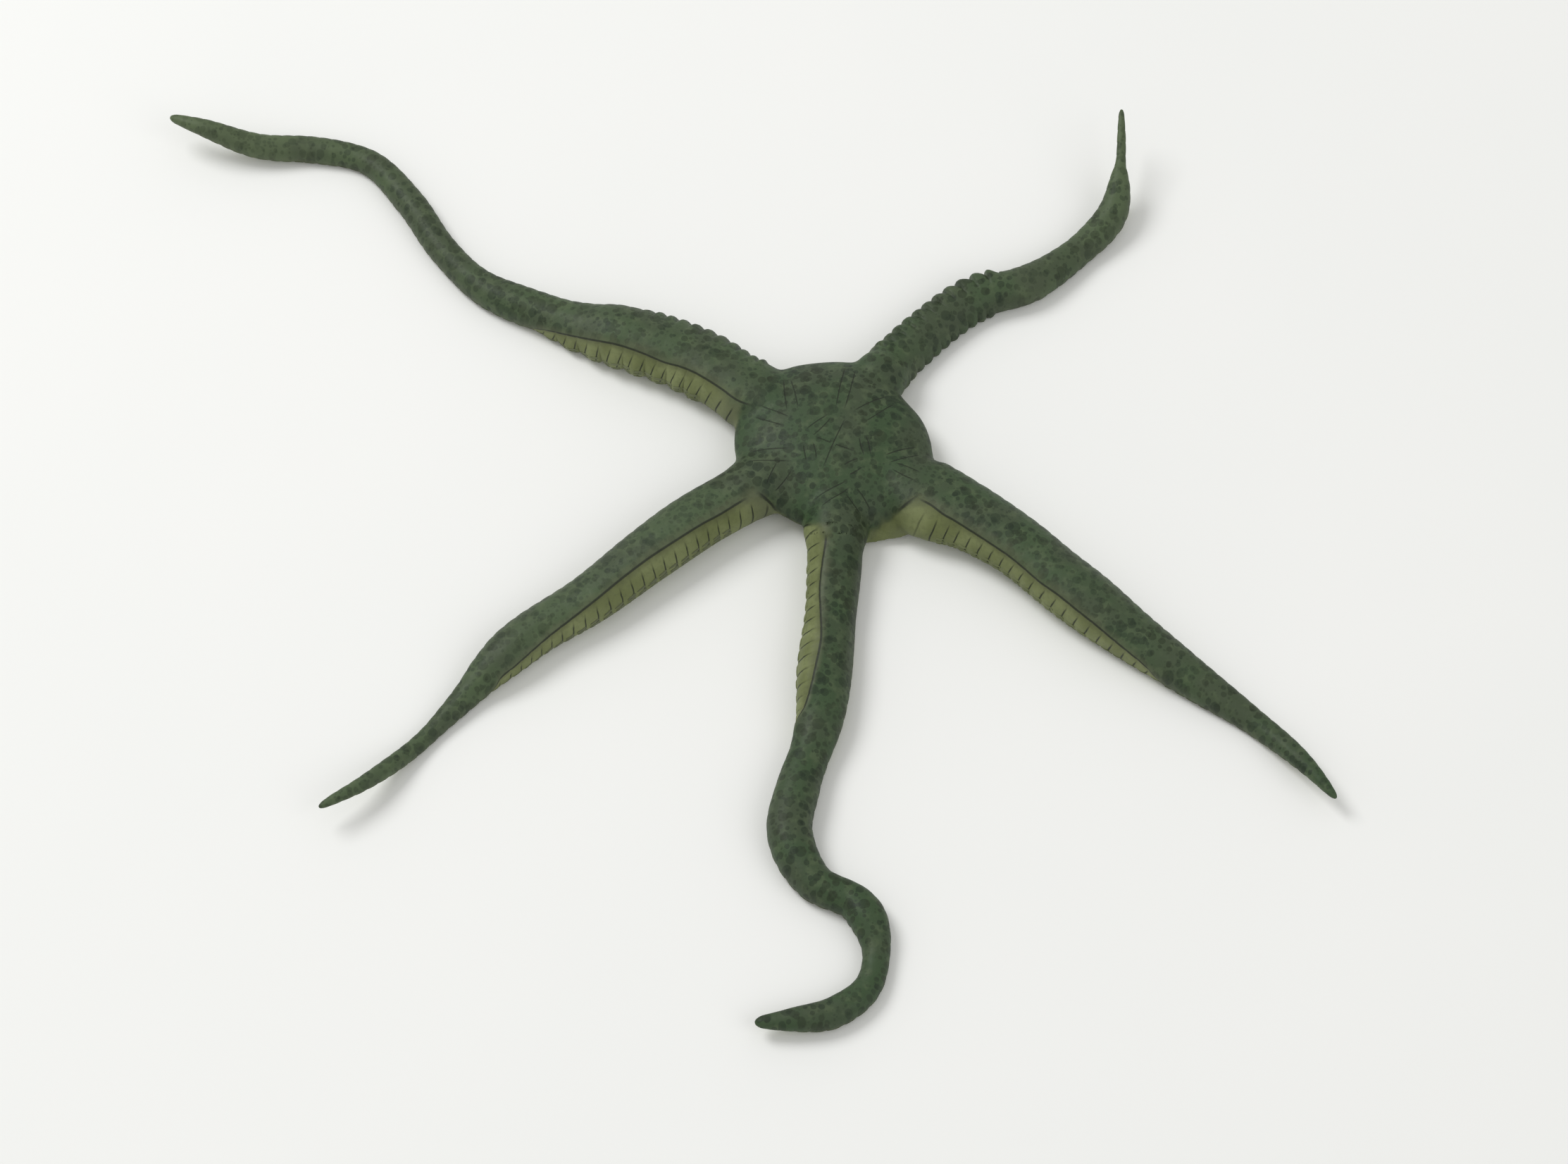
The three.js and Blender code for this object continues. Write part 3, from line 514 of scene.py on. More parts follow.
def new_mesh(name, points, faces):
    mesh = bpy.data.meshes.new(name)
    mesh.from_pydata(points.tolist(), [], faces)
    mesh.update()
    return mesh


def modified(name, shape, kind, **settings):
    """The mesh that a modifier makes of a shape, which is given as points and faces."""
    worker = placed(name, new_mesh(name, *shape))
    modifier = worker.modifiers.new(name, kind)
    for setting, value in settings.items():
        setattr(modifier, setting, value)
    mesh = bpy.data.meshes.new_from_object(worker.evaluated_get(bpy.context.evaluated_depsgraph_get()))
    bpy.data.objects.remove(worker)
    return mesh


def points_of(mesh):
    out = np.empty(len(mesh.vertices) * 3)
    mesh.vertices.foreach_get("co", out)
    return out.reshape(-1, 3)


core = modified("disc_core", joined_shapes(disc_shapes), "REMESH",
                mode="VOXEL", voxel_size=VOXEL, adaptivity=0)
core_points = points_of(core)
print(f"{len(core_points)} points in the skin of the disc")

# %% [markdown]
# ### Where each point of the disc lies on the arms
# The roots of the arms run on into the disc, and so do their colours and ridges.  Each point of the disc's
# skin is therefore asked which arm it is on, how far along it, and at what angle from that arm's crest.
# Points near a root are then drawn onto the arm's own smooth skin, which takes the voxels' steps away.

# %% Arm places for the disc's points
ARM_LENGTHS = np.array([arm.length for arm in arms])


def arm_places(arm, points):
    """For points near an arm's root: the share and angle there, and how far off the arm's line they lie,
    as a part of its half width."""
    reach = round((STUB + 3) / arm.length * arm.STEPS)
    middle = arm.middle[:reach:4]
    gap = ((points[:, None, :] - middle[None]) ** 2).sum(axis=2)
    nearest = 4 * gap.argmin(axis=1)
    offset = points - arm.middle[nearest]
    share = nearest / (arm.STEPS - 1) + (offset * arm.along[nearest]).sum(axis=1) / arm.length
    offset[:, 2] /= arm.squat[nearest]
    across, up = (offset * arm.right[nearest]).sum(axis=1), (offset * arm.crest[nearest]).sum(axis=1)
    return share, np.degrees(np.arctan2(across, up)), np.hypot(across, up) / arm.half[nearest]


def nearest_arm(points):
    """The same for the arm that each point lies nearest to, and that arm's number."""
    share, angle, off = np.zeros(len(points)), np.zeros(len(points)), np.full(len(points), np.inf)
    number = np.zeros(len(points), int)
    for k, arm in enumerate(arms):
        its_share, its_angle, its_off = arm_places(arm, points)
        closer = its_off < off
        share[closer], angle[closer], off[closer] = its_share[closer], its_angle[closer], its_off[closer]
        number[closer] = k
    return share, angle, off, number


def by_arm(number, answer, *lists, shape=()):
    """What each arm answers for its own points, put together in the order of the points."""
    out = np.zeros((len(number), *shape))
    for k, arm in enumerate(arms):
        mine = number == k
        out[mine] = answer(arm, *(values[mine] for values in lists))
    return out


core_share, core_angle, core_off, core_number = nearest_arm(core_points)
core_along = core_share * ARM_LENGTHS[core_number]
core_on_arm = smooth_step(core_along, 7, 9.5) * (1 - smooth_step(core_off, 1.12, 1.3))
print(f"{(core_on_arm > 0.5).sum()} of them lie on an arm's root")

# %% Smooth the disc, and draw the roots onto the arms
INWARDS, OUTWARDS = 0.6, -0.45
HOLLOW_HEIGHT = 2.2
core_edges = np.empty(2 * len(core.edges), np.int32)
core.edges.foreach_get("vertices", core_edges)
core_edges = core_edges.reshape(-1, 2)


def smoothed(points, weight, rounds):
    """Moves each point towards the middle of its neighbours, more where the weight is more.  Every other
    round moves it back by less, so that the form doesn't shrink."""
    count = np.zeros(len(points))
    np.add.at(count, core_edges.ravel(), 1)
    for k in range(rounds):
        total = np.zeros_like(points)
        np.add.at(total, core_edges[:, 0], points[core_edges[:, 1]])
        np.add.at(total, core_edges[:, 1], points[core_edges[:, 0]])
        step = INWARDS if k % 2 == 0 else OUTWARDS
        points = points + (step * weight)[:, None] * (total / count[:, None] - points)
    return points


core_points = smoothed(core_points, 1 - 0.85 * smooth_step(core_along, 8, 10.5) * core_on_arm, 40)
held = smooth_step(core_along, 8.5, 11) * core_on_arm * (1 - near_web(core_points))
core_points = smoothed(core_points, np.where(core_points[:, 2] < HOLLOW_HEIGHT, 0.1, 1 - held), 160)
pull = (core_on_arm * smooth_step(core_along, 8, 10) * (1 - near_web(core_points)))[:, None]
arm_points = by_arm(core_number, skin_place, core_share, core_angle, shape=(3,))
core_points = core_points * (1 - pull) + arm_points * pull
print(f"{(pull > 0.5).sum()} points drawn onto the arms' own skin")

# %% [markdown]
# ### Breathing slits
# On the under side, close beside each arm's root, a narrow slit leads into a breathing pouch.  A Boolean
# could cut it, but that would break the even skin.  The points there are simply lifted, which is enough
# for a hollow that is seen only when the model is turned over.

# %% Lift the slits
SLIT_FROM, SLIT_TO, SLIT_BESIDE, SLIT_DEPTH = 8.6, 12.2, 0.5, 0.6
NONE_NEAR = 9.0


def disc_polar(points):
    """Distance and bearing from the middle of the disc."""
    flat = points[:, :2] - DISC_CENTRE[:2]
    return np.hypot(*flat.T), np.degrees(np.arctan2(flat[:, 1], flat[:, 0]))


def slit_distance(points):
    """Signed distance from the middle of the nearest slit, and how much of a slit there is."""
    radius, _ = disc_polar(points)
    there = (1 - smooth_step(points[:, 2], 1.3, 1.9)) * smooth_step(radius, SLIT_FROM - 0.4, SLIT_FROM + 0.2)
    there *= 1 - smooth_step(radius, SLIT_TO - 0.2, SLIT_TO + 0.4)
    nearest_slit = np.full(len(points), NONE_NEAR)
    for arm in arms:
        reach = round(STUB / arm.length * arm.STEPS)
        line = arm.sole[:reach:4]
        nearest = ((points[:, None, :2] - line[None, :, :2]) ** 2).sum(axis=2).argmin(axis=1)
        sideways = np.linalg.norm(points[:, :2] - line[nearest, :2], axis=1)
        from_slit = sideways - arm.half[4 * nearest] - SLIT_BESIDE
        nearest_slit = np.where(np.abs(from_slit) < np.abs(nearest_slit), from_slit, nearest_slit)
    return nearest_slit, there


slit, slit_there = slit_distance(core_points)
lifted = (1 - smooth_step(np.abs(slit), 0.1, 0.5)) * slit_there
core_points[:, 2] += SLIT_DEPTH * lifted
print(f"{(lifted > 0.5).sum()} points lifted for the slits")

# %% [markdown]
# ## The arms' skin, ring by ring
# Along an arm, rings of points are set where they are needed: close together at the groove between two
# plates and wider on a plate.  Round the arm, the rows of points follow the ridge and the lower edge.  So
# the ridge is one clean line of edges, which a remesh at this size couldn't give.

# %% The rings of an arm
PLATE_STEPS = [0, 0.07, 0.17, 0.35, 0.55, 0.75, 0.85, 0.94]
SLIM_STEPS = [0, 0.09, 0.35, 0.65, 0.91]
SLIM_WIDTH = 4
TIP_STEPS = np.array([0.85, 0.6, 0.4, 0.24, 0.12, 0.04])
BRIDGE_ROOM = 0.35
BANDS = [0, 0.13, 0.27, 0.4, 0.52, 0.64, 0.75, 0.85, 0.93, 0.98, 1.02, 1.08, 1.17, 1.3, 1.45, 1.6, 1.75,
         1.88, 2, 2.25, 2.5, 2.75, 3]
ROWS = [(-1, b) for b in BANDS[:0:-1]] + [(1, b) for b in BANDS[:-1]]


def ring_shares(arm):
    """The shares of the length at which an arm's rings lie."""
    first = (ROOT_CUT + BRIDGE_ROOM) / arm.length
    shares = []
    for plate in range(math.ceil(arm.plate_at(first)) - 1, arm.plates):
        wide = 2 * arm.at(arm.half, arm.share_at(plate)) > SLIM_WIDTH
        shares += [arm.share_at(plate + step) for step in (PLATE_STEPS if wide else SLIM_STEPS)]
    tip = 1 - TIP_STEPS * TIP_ROUNDING / arm.length
    low, high = first + 0.15 / arm.length, tip[0] - 0.2 / arm.length
    return np.array([first, *(share for share in shares if low < share < high), *tip])


def arm_skin(arm):
    """Points, with the very tip last, faces, and the share, angle and band of each point."""
    shares = ring_shares(arm)
    side, band = np.array(ROWS, float).T
    share = np.repeat(shares[:, None], len(ROWS), axis=1)
    band = np.broadcast_to(band, share.shape)
    angle = angle_of(arm, share, band, np.broadcast_to(side, share.shape))
    points = arm.skin(share, angle, relief(arm, share, angle, band))
    apex = arm.skin(np.array([1.0]), np.array([0.0]))
    last = (len(shares) - 1) * len(ROWS)
    tip = [[last + i, last + (i + 1) % len(ROWS), last + len(ROWS)] for i in range(len(ROWS))]
    return dict(points=np.vstack([points.reshape(-1, 3), apex]), faces=quads(len(shares), len(ROWS)) + tip,
                share=np.append(share, 1), angle=np.append(angle, 0), band=np.append(band, 0))


lofts = [arm_skin(arm) for arm in arms]
print(f"{sum(len(loft['points']) for loft in lofts)} points on the five arms")

# %% [markdown]
# ### One skin from six
# The disc's skin is cut square through each root, and the open edge is bridged to the first ring of the
# arm's own rows.  A bridge only adds faces between points that are there, so every point keeps its place
# in the lists above.

# %% Cut the roots and bridge them to the arms
RIM_REACH = 8


def root_cut(arm):
    """The middle of the cut through an arm's root, and the arm's direction there."""
    share = np.array(ROOT_CUT / arm.length)
    return arm.at(arm.middle, share), arm.at(arm.along, share)


def cut_roots():
    """Points and faces of the disc's skin within the cuts."""
    body = bmesh.new()
    body.from_mesh(core)
    for vert, point in zip(body.verts, core_points):
        vert.co = point
    for arm in arms:
        middle, along = root_cut(arm)
        everything = [*body.verts, *body.edges, *body.faces]
        bmesh.ops.bisect_plane(body, geom=everything, dist=1e-4, plane_co=middle, plane_no=along,
                               clear_outer=True)
    body.verts.index_update()
    points = np.array([vert.co for vert in body.verts])
    faces = [[vert.index for vert in face.verts] for face in body.faces]
    body.free()
    return points, faces


disc_points, disc_faces = cut_roots()
all_points, all_faces = joined_shapes([(disc_points, disc_faces)]
                                      + [(loft["points"], loft["faces"]) for loft in lofts])
starts = np.cumsum([len(disc_points)] + [len(loft["points"]) for loft in lofts])
skin = bmesh.new()
skin.from_mesh(new_mesh("skin_rough", all_points, all_faces))
for k, arm in enumerate(arms):
    middle, _ = root_cut(arm)
    near = [edge for edge in skin.edges
            if edge.is_boundary and np.linalg.norm(np.array(edge.verts[0].co) - middle) < RIM_REACH]
    ring = [edge for edge in near if starts[k] <= edge.verts[0].index < starts[k + 1]]
    rim = [edge for edge in near if edge.verts[0].index < len(disc_points)]
    made = bmesh.ops.bridge_loops(skin, edges=ring + rim)["faces"]
    print(f"{arm.name}: {len(rim)} edges of the disc bridged to {len(ring)} of the arm by {len(made)} faces")
bmesh.ops.recalc_face_normals(skin, faces=skin.faces)
print(f"open edges left: {sum(edge.is_boundary for edge in skin.edges)}")

# %% [markdown]
# ## What the colours need to know
# Colours on a living animal follow its body, so each point of the skin is given a few plain numbers: which
# plate it is on, which band round the arm, how light its arm is, where the sutures get painted shade, and how
# far it is from a crease or a fold that gets painted shade.  They are kept as attributes on the points, and
# the material reads them.
# An attribute moves with the form, which a pattern laid on from outside wouldn't.

# %% The skin's places on disc and arms
MARGIN_OVERHANG = 0.35
WEB_OVERHANG = 1.2


def dark_margin(bearing):
    """How far out the dark upper skin reaches: over the web it hangs out further than the disc's edge."""
    over_web = 1 - smooth_step(np.abs(bearing + 38), 8, 26)
    return disc_edge(bearing) + MARGIN_OVERHANG + WEB_OVERHANG * over_web


def places(points):
    """For points round the disc: share, angle and number of the nearest arm, the band, how much the point
    belongs to that arm and how near it is to it."""
    share, angle, off, number = nearest_arm(points)
    radius, bearing = disc_polar(points)
    pale_start = np.array([arm.pale_start for arm in arms])[number]
    belongs = smooth_step(radius - disc_edge(bearing) - pale_start, -1.8, 1.2)
    belongs = belongs * (1 - smooth_step(off, 1.15, 1.35)) * smooth_step(share * ARM_LENGTHS[number], 6, 8)
    webbed = smooth_step(off, 1.02, 1.2) * (1 - smooth_step(np.abs(bearing + 48), 28, 36))
    outer = (radius - dark_margin(bearing)) / 1.2 * webbed - 1 + webbed
    below = 1 + np.maximum((2.4 - points[:, 2]) / 1.4, outer).clip(-1, 1.6)
    band = below * (1 - belongs) + by_arm(number, band_of, share, angle) * belongs
    return dict(share=share, angle=angle, number=number, band=band, on_arm=belongs,
                near_arm=1 - smooth_step(off, 1.2, 1.4))


on_disc = places(disc_points)
share, angle, band = (np.concatenate([on_disc[key], *(loft[key] for loft in lofts)])
                      for key in ("share", "angle", "band"))
loft_number = np.repeat(range(len(arms)), [len(loft["points"]) for loft in lofts])
number = np.concatenate([on_disc["number"], loft_number])
on_arm, near_arm = (np.concatenate([on_disc[key], np.ones(len(loft_number))])
                    for key in ("on_arm", "near_arm"))
along = share * ARM_LENGTHS[number]
print(f"{np.mean(band > 1):.0%} of the points are on the pale side of the ridge")

# %% Plates, tones and the painted shade in the sutures
def lightness(arm, share):
    return through(arm.tones, share)


def strokes_show(arm, share, band):
    """1 where the grooves between an arm's plates get painted shade."""
    start, stop, high, low = arm.strokes
    window = smooth_step(share, start, start + 0.03) * (1 - smooth_step(share, stop - 0.02, stop + 0.02))
    return window * smooth_step(band, high - 0.12, high + 0.12) * (1 - smooth_step(band, low, low + 0.3))


plate = by_arm(number, slanted, share, band)
tone = by_arm(number, lightness, share) * on_arm
suture_shade = by_arm(number, strokes_show, share, band) * on_arm
print(f"sutures show on {np.mean(suture_shade > 0.5):.0%} of the skin")

# %% [markdown]
# ### Painted shade in creases, mouth and slits
# Painted shade darkens a fine line along each ridge that stands over a pale flank, and along the disc's
# margin where it hangs over one, as the shadow under them.  On the disc and at the arms' roots the back has
# no ridge, and its colour ends softly.  The mouth and the slits are darkened inside with painted shade.  Each
# shaded crease is kept as a distance in millimetres and as how strongly it shows, because a distance can be
# read between two points, and so the line stays fine.

# %% Softness, and painted shade in creases, mouth and slits
# The disc's margin gets a line of painted shadow where it hangs over a pale flank, at these bearings.
MARGIN_LINES = [(-131, 5), (-107, 4), (-46, 8.5)]  # bearing of the middle and half the spread
MARGIN_BAND_WIDTH = 1.3
RIDGE_LINE_DROP = 1.01


# Distance from the line of painted shade along the ridge, in millimetres.
def beside_ridge(arm, share, angle):
    ridge = ridge_at(arm, share, np.where(angle < 0, -1, 1))
    return np.radians(np.abs(angle) - RIDGE_LINE_DROP * ridge) * arm.at(arm.half, share)


soft = 1 - smooth_step(along, 8, 13) * on_arm
line_start = np.array([arm.line_start for arm in arms])[number]
ridge_gap = by_arm(number, beside_ridge, share, angle)
ridge_shows = smooth_step(along, line_start - 0.8, line_start + 1) * near_arm

radius, bearing = disc_polar(all_points)
margin_gap = (band - 1) * MARGIN_BAND_WIDTH
margin_shows = sum(1 - smooth_step(np.abs(bearing - middle), half - 2, half + 2)
                   for middle, half in MARGIN_LINES)
margin_shows = margin_shows * (1 - smooth_step(on_arm, 0.8, 1))

height = all_points[:, 2]
# Where painted shade darkens the inside of the mouth's hollow, and below it the slits.
mouth = (1 - smooth_step(radius, MOUTH_RADIUS - 0.2, MOUTH_RADIUS + 0.1)) * smooth_step(height, 0.8, 1.6)
mouth *= height < 3
slit, slit_there = slit_distance(all_points)
slit_there *= share < 0.3
in_shaded_crease = (np.abs(ridge_gap) < 0.2) & (ridge_shows > 0.5)
print(f"{in_shaded_crease.sum()} points lie in a ridge's crease, {(mouth > 0.5).sum()} in the mouth")

# %% [markdown]
# ### Folds of the disc
# Pairs of fine folds run from the arms' roots up onto the disc, along the edges of the plates under its
# skin, with shorter ones and a cross near its middle.  They could be cut into the form, but they are finer
# than its faces, so they get a small bump and a line of painted shade along them.  So each point is given its
# distance from the nearest line, positive outside a pair and negative inside it, and the line itself, where
# the number passes zero, stays sharp between two points.

# %% Distance from the folds
FOLDS = [  # radius and bearing of the middle, way, length, how far apart and how they spread
    (8.3, 139, 98, 5.1, 1.2, -6), (9, 168, 150, 4.2, 1.6, 3), (10.2, -154, 176, 5, 1.8, 0),
    (11.2, -135, 59, 3.2, 1.8, 16), (6.6, 76, 79, 6.8, 1.3, 2), (6.5, 28, 39, 5.2, 1.9, -8),
    (10.5, -24, 25, 4.4, 1.2, 0), (12.4, -36, 153, 3.4, 1.3, -8), (12, -74, 128, 3, 1.6, 3),
    (10.8, -92, 34, 4.7, 1.3, -9), (2.1, -177, 43, 3.4, 1, -11), (5.5, -39, 103, 2.6, 0.9, 1),
    (5.6, -128, 100, 2.2, 1.3, -2), (7.2, -69, 31, 2.1, 1.4, -6), (3.1, -90, 68, 7.4, 0, 0),
    (3.2, -90, 157, 5.1, 0, 0),
]
FOLD_REACH = 0.4
FOLD_BOW = 0.12


def towards(degrees):
    return np.array([math.cos(math.radians(degrees)), math.sin(math.radians(degrees))])


def fold_distance(points):
    """Signed distance to the nearest fold line, and how strongly that line shows."""
    flat = points[:, :2] - DISC_CENTRE[:2]
    best, shows_best = np.full(len(points), NONE_NEAR), np.zeros(len(points))
    for radius, bearing, way, length, apart, spread in FOLDS:
        from_middle = flat - radius * towards(bearing)
        for side in ((-1, 1) if apart else (1,)):
            along, across = towards(way + side * spread / 2), towards(way + side * spread / 2 + 90)
            run = from_middle @ along
            signed = side * (from_middle @ across) - apart / 2 - FOLD_BOW * np.cos(run / length * 2.4)
            shows = ((1 - smooth_step(np.abs(run), 0.38 * length, 0.6 * length))
                     * (1 - smooth_step(np.abs(signed), 0.6 * FOLD_REACH, FOLD_REACH)))
            closer = shows > shows_best
            best[closer], shows_best[closer] = signed[closer], shows[closer]
    return best, shows_best * smooth_step(points[:, 2], 2.8, 3.6)


fold, fold_shows = fold_distance(all_points)
print(f"{sum(f[4] > 0 for f in FOLDS)} pairs of folds on the disc, the longest {max(f[3] for f in FOLDS)} mm")

# %% [markdown]
# ### A flat map of the skin
# The skin gets a flat map, on which its colours can be kept when the model leaves this program.  Each arm
# is slit along its sole and laid out as a strip, true to size, and the disc is laid out as its upper and its
# under side, with the margin spread outwards.  An automatic map would cut the long arms into many crooked
# pieces and waste most of the picture.

# %% Where strips and disc lie on the map
STRIP_GAP = 1.5
MAP_EDGE = 0.01


def strips():
    """For each arm: how far along its strip the rings lie, the height on the map of each point of a ring,
    and the height of the crest."""
    laid, base = [], 0
    for arm, loft in zip(arms, lofts):
        rings = loft["points"][:-1].reshape(-1, len(ROWS), 3)
        steps = np.linalg.norm(np.diff(rings, axis=1, append=rings[:, :1]), axis=2)
        run = np.cumsum(np.hstack([np.zeros((len(rings), 1)), steps]), axis=1)
        crest = len(BANDS) - 1
        up = run - run[:, crest:crest + 1]
        ring_along = loft["share"][:-1].reshape(-1, len(ROWS))[:, 0] * arm.length - ROOT_CUT
        laid.append((ring_along, up + base - up.min(), base - up.min()))
        base += up.max() - up.min() + STRIP_GAP
    return laid


def flat_disc(points, upper):
    radius, bearing = disc_polar(points)
    drop = (DISC_HEIGHT - points[:, 2]) if upper else points[:, 2]
    spread = radius + 0.7 * drop * smooth_step(radius, 2, 9)
    turn = np.radians(bearing)
    return np.stack([spread * np.cos(turn), spread * np.sin(turn)], axis=1)


def flat_sides():
    """The disc's upper and under side, one above the other and beside the strips."""
    upper, under = flat_disc(all_points, True), flat_disc(all_points, False)
    half = np.abs([upper[:len(disc_points)], under[:len(disc_points)]]).max() + 2
    left = max(arm.length for arm in arms) + half
    return upper + (left, half), under + (left, 3 * half + STRIP_GAP)


upper_map, under_map = flat_sides()
print(f"the map is {max(upper_map.max(), under_map.max()):.0f} mm wide when it is laid out true to size")

# %% Lay the skin out flat
def laid_flat(skin):
    """A flat place for every corner of every face, as a list in the order of the faces' corners."""
    arm_strips, flat = strips(), []
    part = np.searchsorted(starts, np.arange(len(all_points)), "right").tolist()
    for face in skin.faces:
        numbers = [vert.index for vert in face.verts]
        parts = {part[n] for n in numbers}
        if 0 in parts or len(parts) > 1:
            flat += (upper_map if face.normal.z > -0.05 else under_map)[numbers].tolist()
            continue
        k = parts.pop() - 1
        ring_along, up, crest = arm_strips[k]
        spots = [divmod(n - int(starts[k]), len(ROWS)) for n in numbers]
        rows = [row for ring, row in spots if ring < len(up)]
        closing = max(rows) - min(rows) > 1
        for ring, row in spots:
            if ring == len(up):
                flat.append((arms[k].length - ROOT_CUT, crest))
            else:
                flat.append((ring_along[ring], up[ring, len(ROWS) if closing and row == 0 else row]))
    return np.array(flat)


flat_map = laid_flat(skin)
flat_map -= flat_map.min(axis=0)
flat_map = flat_map / flat_map.max() * (1 - 2 * MAP_EDGE) + MAP_EDGE
point_map = np.zeros((len(all_points), 2))
point_map[[vert.index for face in skin.faces for vert in face.verts]] = flat_map
print(f"map {np.ptp(flat_map, axis=0).round(2)} of the picture's width and height")

# %% [markdown]
# ## From shapes to pieces
# A piece takes the place of one or more of the measured solids, so it rides on their body and hides those
# that it stands for.  All pieces are finished in the same way: brought to metres, shaded smooth and given
# their material and the numbers that it reads.

# %% Pieces, finished meshes and their numbers
def new_piece(name, mesh, slot, *nodes):
    piece = placed(name, mesh)
    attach(piece, "root")
    if nodes:
        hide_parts(*nodes)


def finished(mesh, finish):
    mesh.vertices.foreach_set("co", (points_of(mesh) * MM).ravel())
    mesh.polygons.foreach_set("use_smooth", [True] * len(mesh.polygons))
    mesh.materials.append(finish)
    mesh.update()
    return mesh


def give(mesh, flat, **lists):
    """Lays a flat map and lists of one number a point on a mesh."""
    mesh.uv_layers.new(name="OFBake").data.foreach_set("uv", flat.ravel().astype(np.float32))
    for name, values in lists.items():
        values = np.broadcast_to(values, len(mesh.vertices)).astype(np.float32)
        mesh.attributes.new(name, "FLOAT", "POINT").data.foreach_set("value", values)


skin_mesh = bpy.data.meshes.new("skin")
skin.to_mesh(skin_mesh)
skin.free()
print(f"{sum(len(p.vertices) - 2 for p in skin_mesh.polygons)} triangles in the skin")

# %% [markdown]
# ## Materials written as sums
# A material is a net of small nodes.  Wiring them one by one hides what they do, so a socket is wrapped in
# a class that knows plus, minus and times: an expression on such values adds the nodes for it.  Every
# other node comes from one method, which takes the node's type, its settings and its inputs.

# %% A socket that can be used in sums
class Wire:
    """One output socket of a material's nodes."""

    def __init__(self, finish, socket):
        self.finish, self.socket = finish, socket

    def sum(self, operation, first, second):
        return self.finish.node("ShaderNodeMath", {"operation": operation}, {0: first, 1: second})

    def __add__(self, other):
        return self.sum("ADD", self, other)

    def __sub__(self, other):
        return self.sum("SUBTRACT", self, other)

    def __rsub__(self, other):
        return self.sum("SUBTRACT", other, self)

    def __mul__(self, other):
        return self.sum("MULTIPLY", self, other)

    __radd__ = __add__

    def size(self):
        """The value without its sign."""
        return self.finish.node("ShaderNodeMath", {"operation": "ABSOLUTE"}, {0: self})

    def beside(self, output):
        """Another output of the same node."""
        return Wire(self.finish, self.socket.node.outputs[output])


class Finish:
    """A material under way, with the helpers that its sums need."""

    def __init__(self, name, **constants):
        self.material = bpy.data.materials.new(name)
        self.material.use_nodes = True
        self.tree = self.material.node_tree
        self.shader = self.tree.nodes["Principled BSDF"]
        for socket, value in constants.items():
            self.shader.inputs[socket.replace("_", " ")].default_value = value

    def node(self, kind, settings=None, sockets=None, out=0):
        made = self.tree.nodes.new(kind)
        for name, value in (settings or {}).items():
            setattr(made, name, value)
        for name, value in (sockets or {}).items():
            if isinstance(value, Wire):
                self.tree.links.new(value.socket, made.inputs[name])
            else:
                made.inputs[name].default_value = value
        return Wire(self, made.outputs[out])

    def give(self, socket, wire):
        self.tree.links.new(wire.socket, self.shader.inputs[socket])

    def number(self, attribute):
        return self.node("ShaderNodeAttribute", {"attribute_name": attribute}, out="Fac")

    def place(self):
        """The point's place in millimetres."""
        where = self.node("ShaderNodeTexCoord", out="Object")
        return self.node("ShaderNodeVectorMath", {"operation": "SCALE"}, {0: where, "Scale": 1 / MM})

    def noise(self, where, size, detail=2.0):
        """Soft noise whose features are about size millimetres across, from 0 to 1."""
        return self.node("ShaderNodeTexNoise", None, {"Vector": where, "Scale": 1 / size, "Detail": detail})

    def step(self, value, low, high):
        """0 below low, 1 above high and a soft change between."""
        return self.node("ShaderNodeMapRange", {"interpolation_type": "SMOOTHSTEP"},
                         {"Value": value, "From Min": low, "From Max": high})

    def line(self, distance, inner, outer):
        """1 up to the inner distance on both sides of a line, 0 beyond the outer one."""
        return 1 - self.step(distance.size(), inner, outer)

    def mix(self, amount, first, second):
        return self.node("ShaderNodeMix", {"data_type": "RGBA"}, {0: amount, 6: first, 7: second}, out=2)

    def bump(self, height, strength):
        """The form's own normal, tilted by a height in millimetres."""
        return self.node("ShaderNodeBump", None, {"Height": height, "Strength": strength, "Distance": MM})

    def spots(self, where, size, share, least, soft):
        """Round spots, 1 in their middle, in about this share of cells that are size millimetres wide."""
        near = self.node("ShaderNodeTexVoronoi", None, {"Vector": where, "Scale": 1 / size})
        chance = self.node("ShaderNodeSeparateColor", None, {0: near.beside("Color")})
        inside = 1 - self.step(near - chance * 0.22, least - soft, least + soft)
        return inside * self.step(chance.beside(1), 1 - share, 1.05 - share)


def colour(red, green, blue):
    """A colour as a screen shows it, from 0 to 255, as the light that a shader works with."""
    parts = [value / 255 for value in (red, green, blue)]
    return (*[v / 12.92 if v <= 0.04045 else ((v + 0.055) / 1.055) ** 2.4 for v in parts], 1)


print(f"the grey that a screen shows as 128 is {colour(128, 128, 128)[0]:.2f} of white's light")

# %% [markdown]
# ### The mottled back
# The back is dark green with soft round blotches, small dots between them and a greyer wash in places.
# Paint by hand would be lost when the form changes.  Noise and cell patterns in the body's own millimetres
# give blotches of the right size everywhere.  Read each line as one coat of paint: where it shows, then
# how much of it, then its colour.

# %% Colours, and the back
BACK = colour(56, 76, 48)
BACK_LIGHT = colour(86, 100, 70)
BLOTCH = colour(26, 41, 24)
BLOTCH_BROWN = colour(34, 44, 24)
WASH = colour(65, 74, 55)
WASH_LIGHT = colour(96, 102, 76)
PALE = colour(106, 114, 70)
PALE_LIGHT = colour(123, 131, 87)
# A darker pale: random dark patches and the sole's plate rows, and painted shade under the ridge.
PALE_DARK_AND_SHADE = colour(80, 86, 55)
# Painted shade: the dark of the grooves, folds, creases under the ridge and margin, the slits and the mouth.
PAINTED_SHADE = colour(30, 36, 24)
BLOTCHES = [(2.1, 0.8), (1.5, 0.85), (1.05, 0.8)]  # size of the cells in millimetres, share that has one


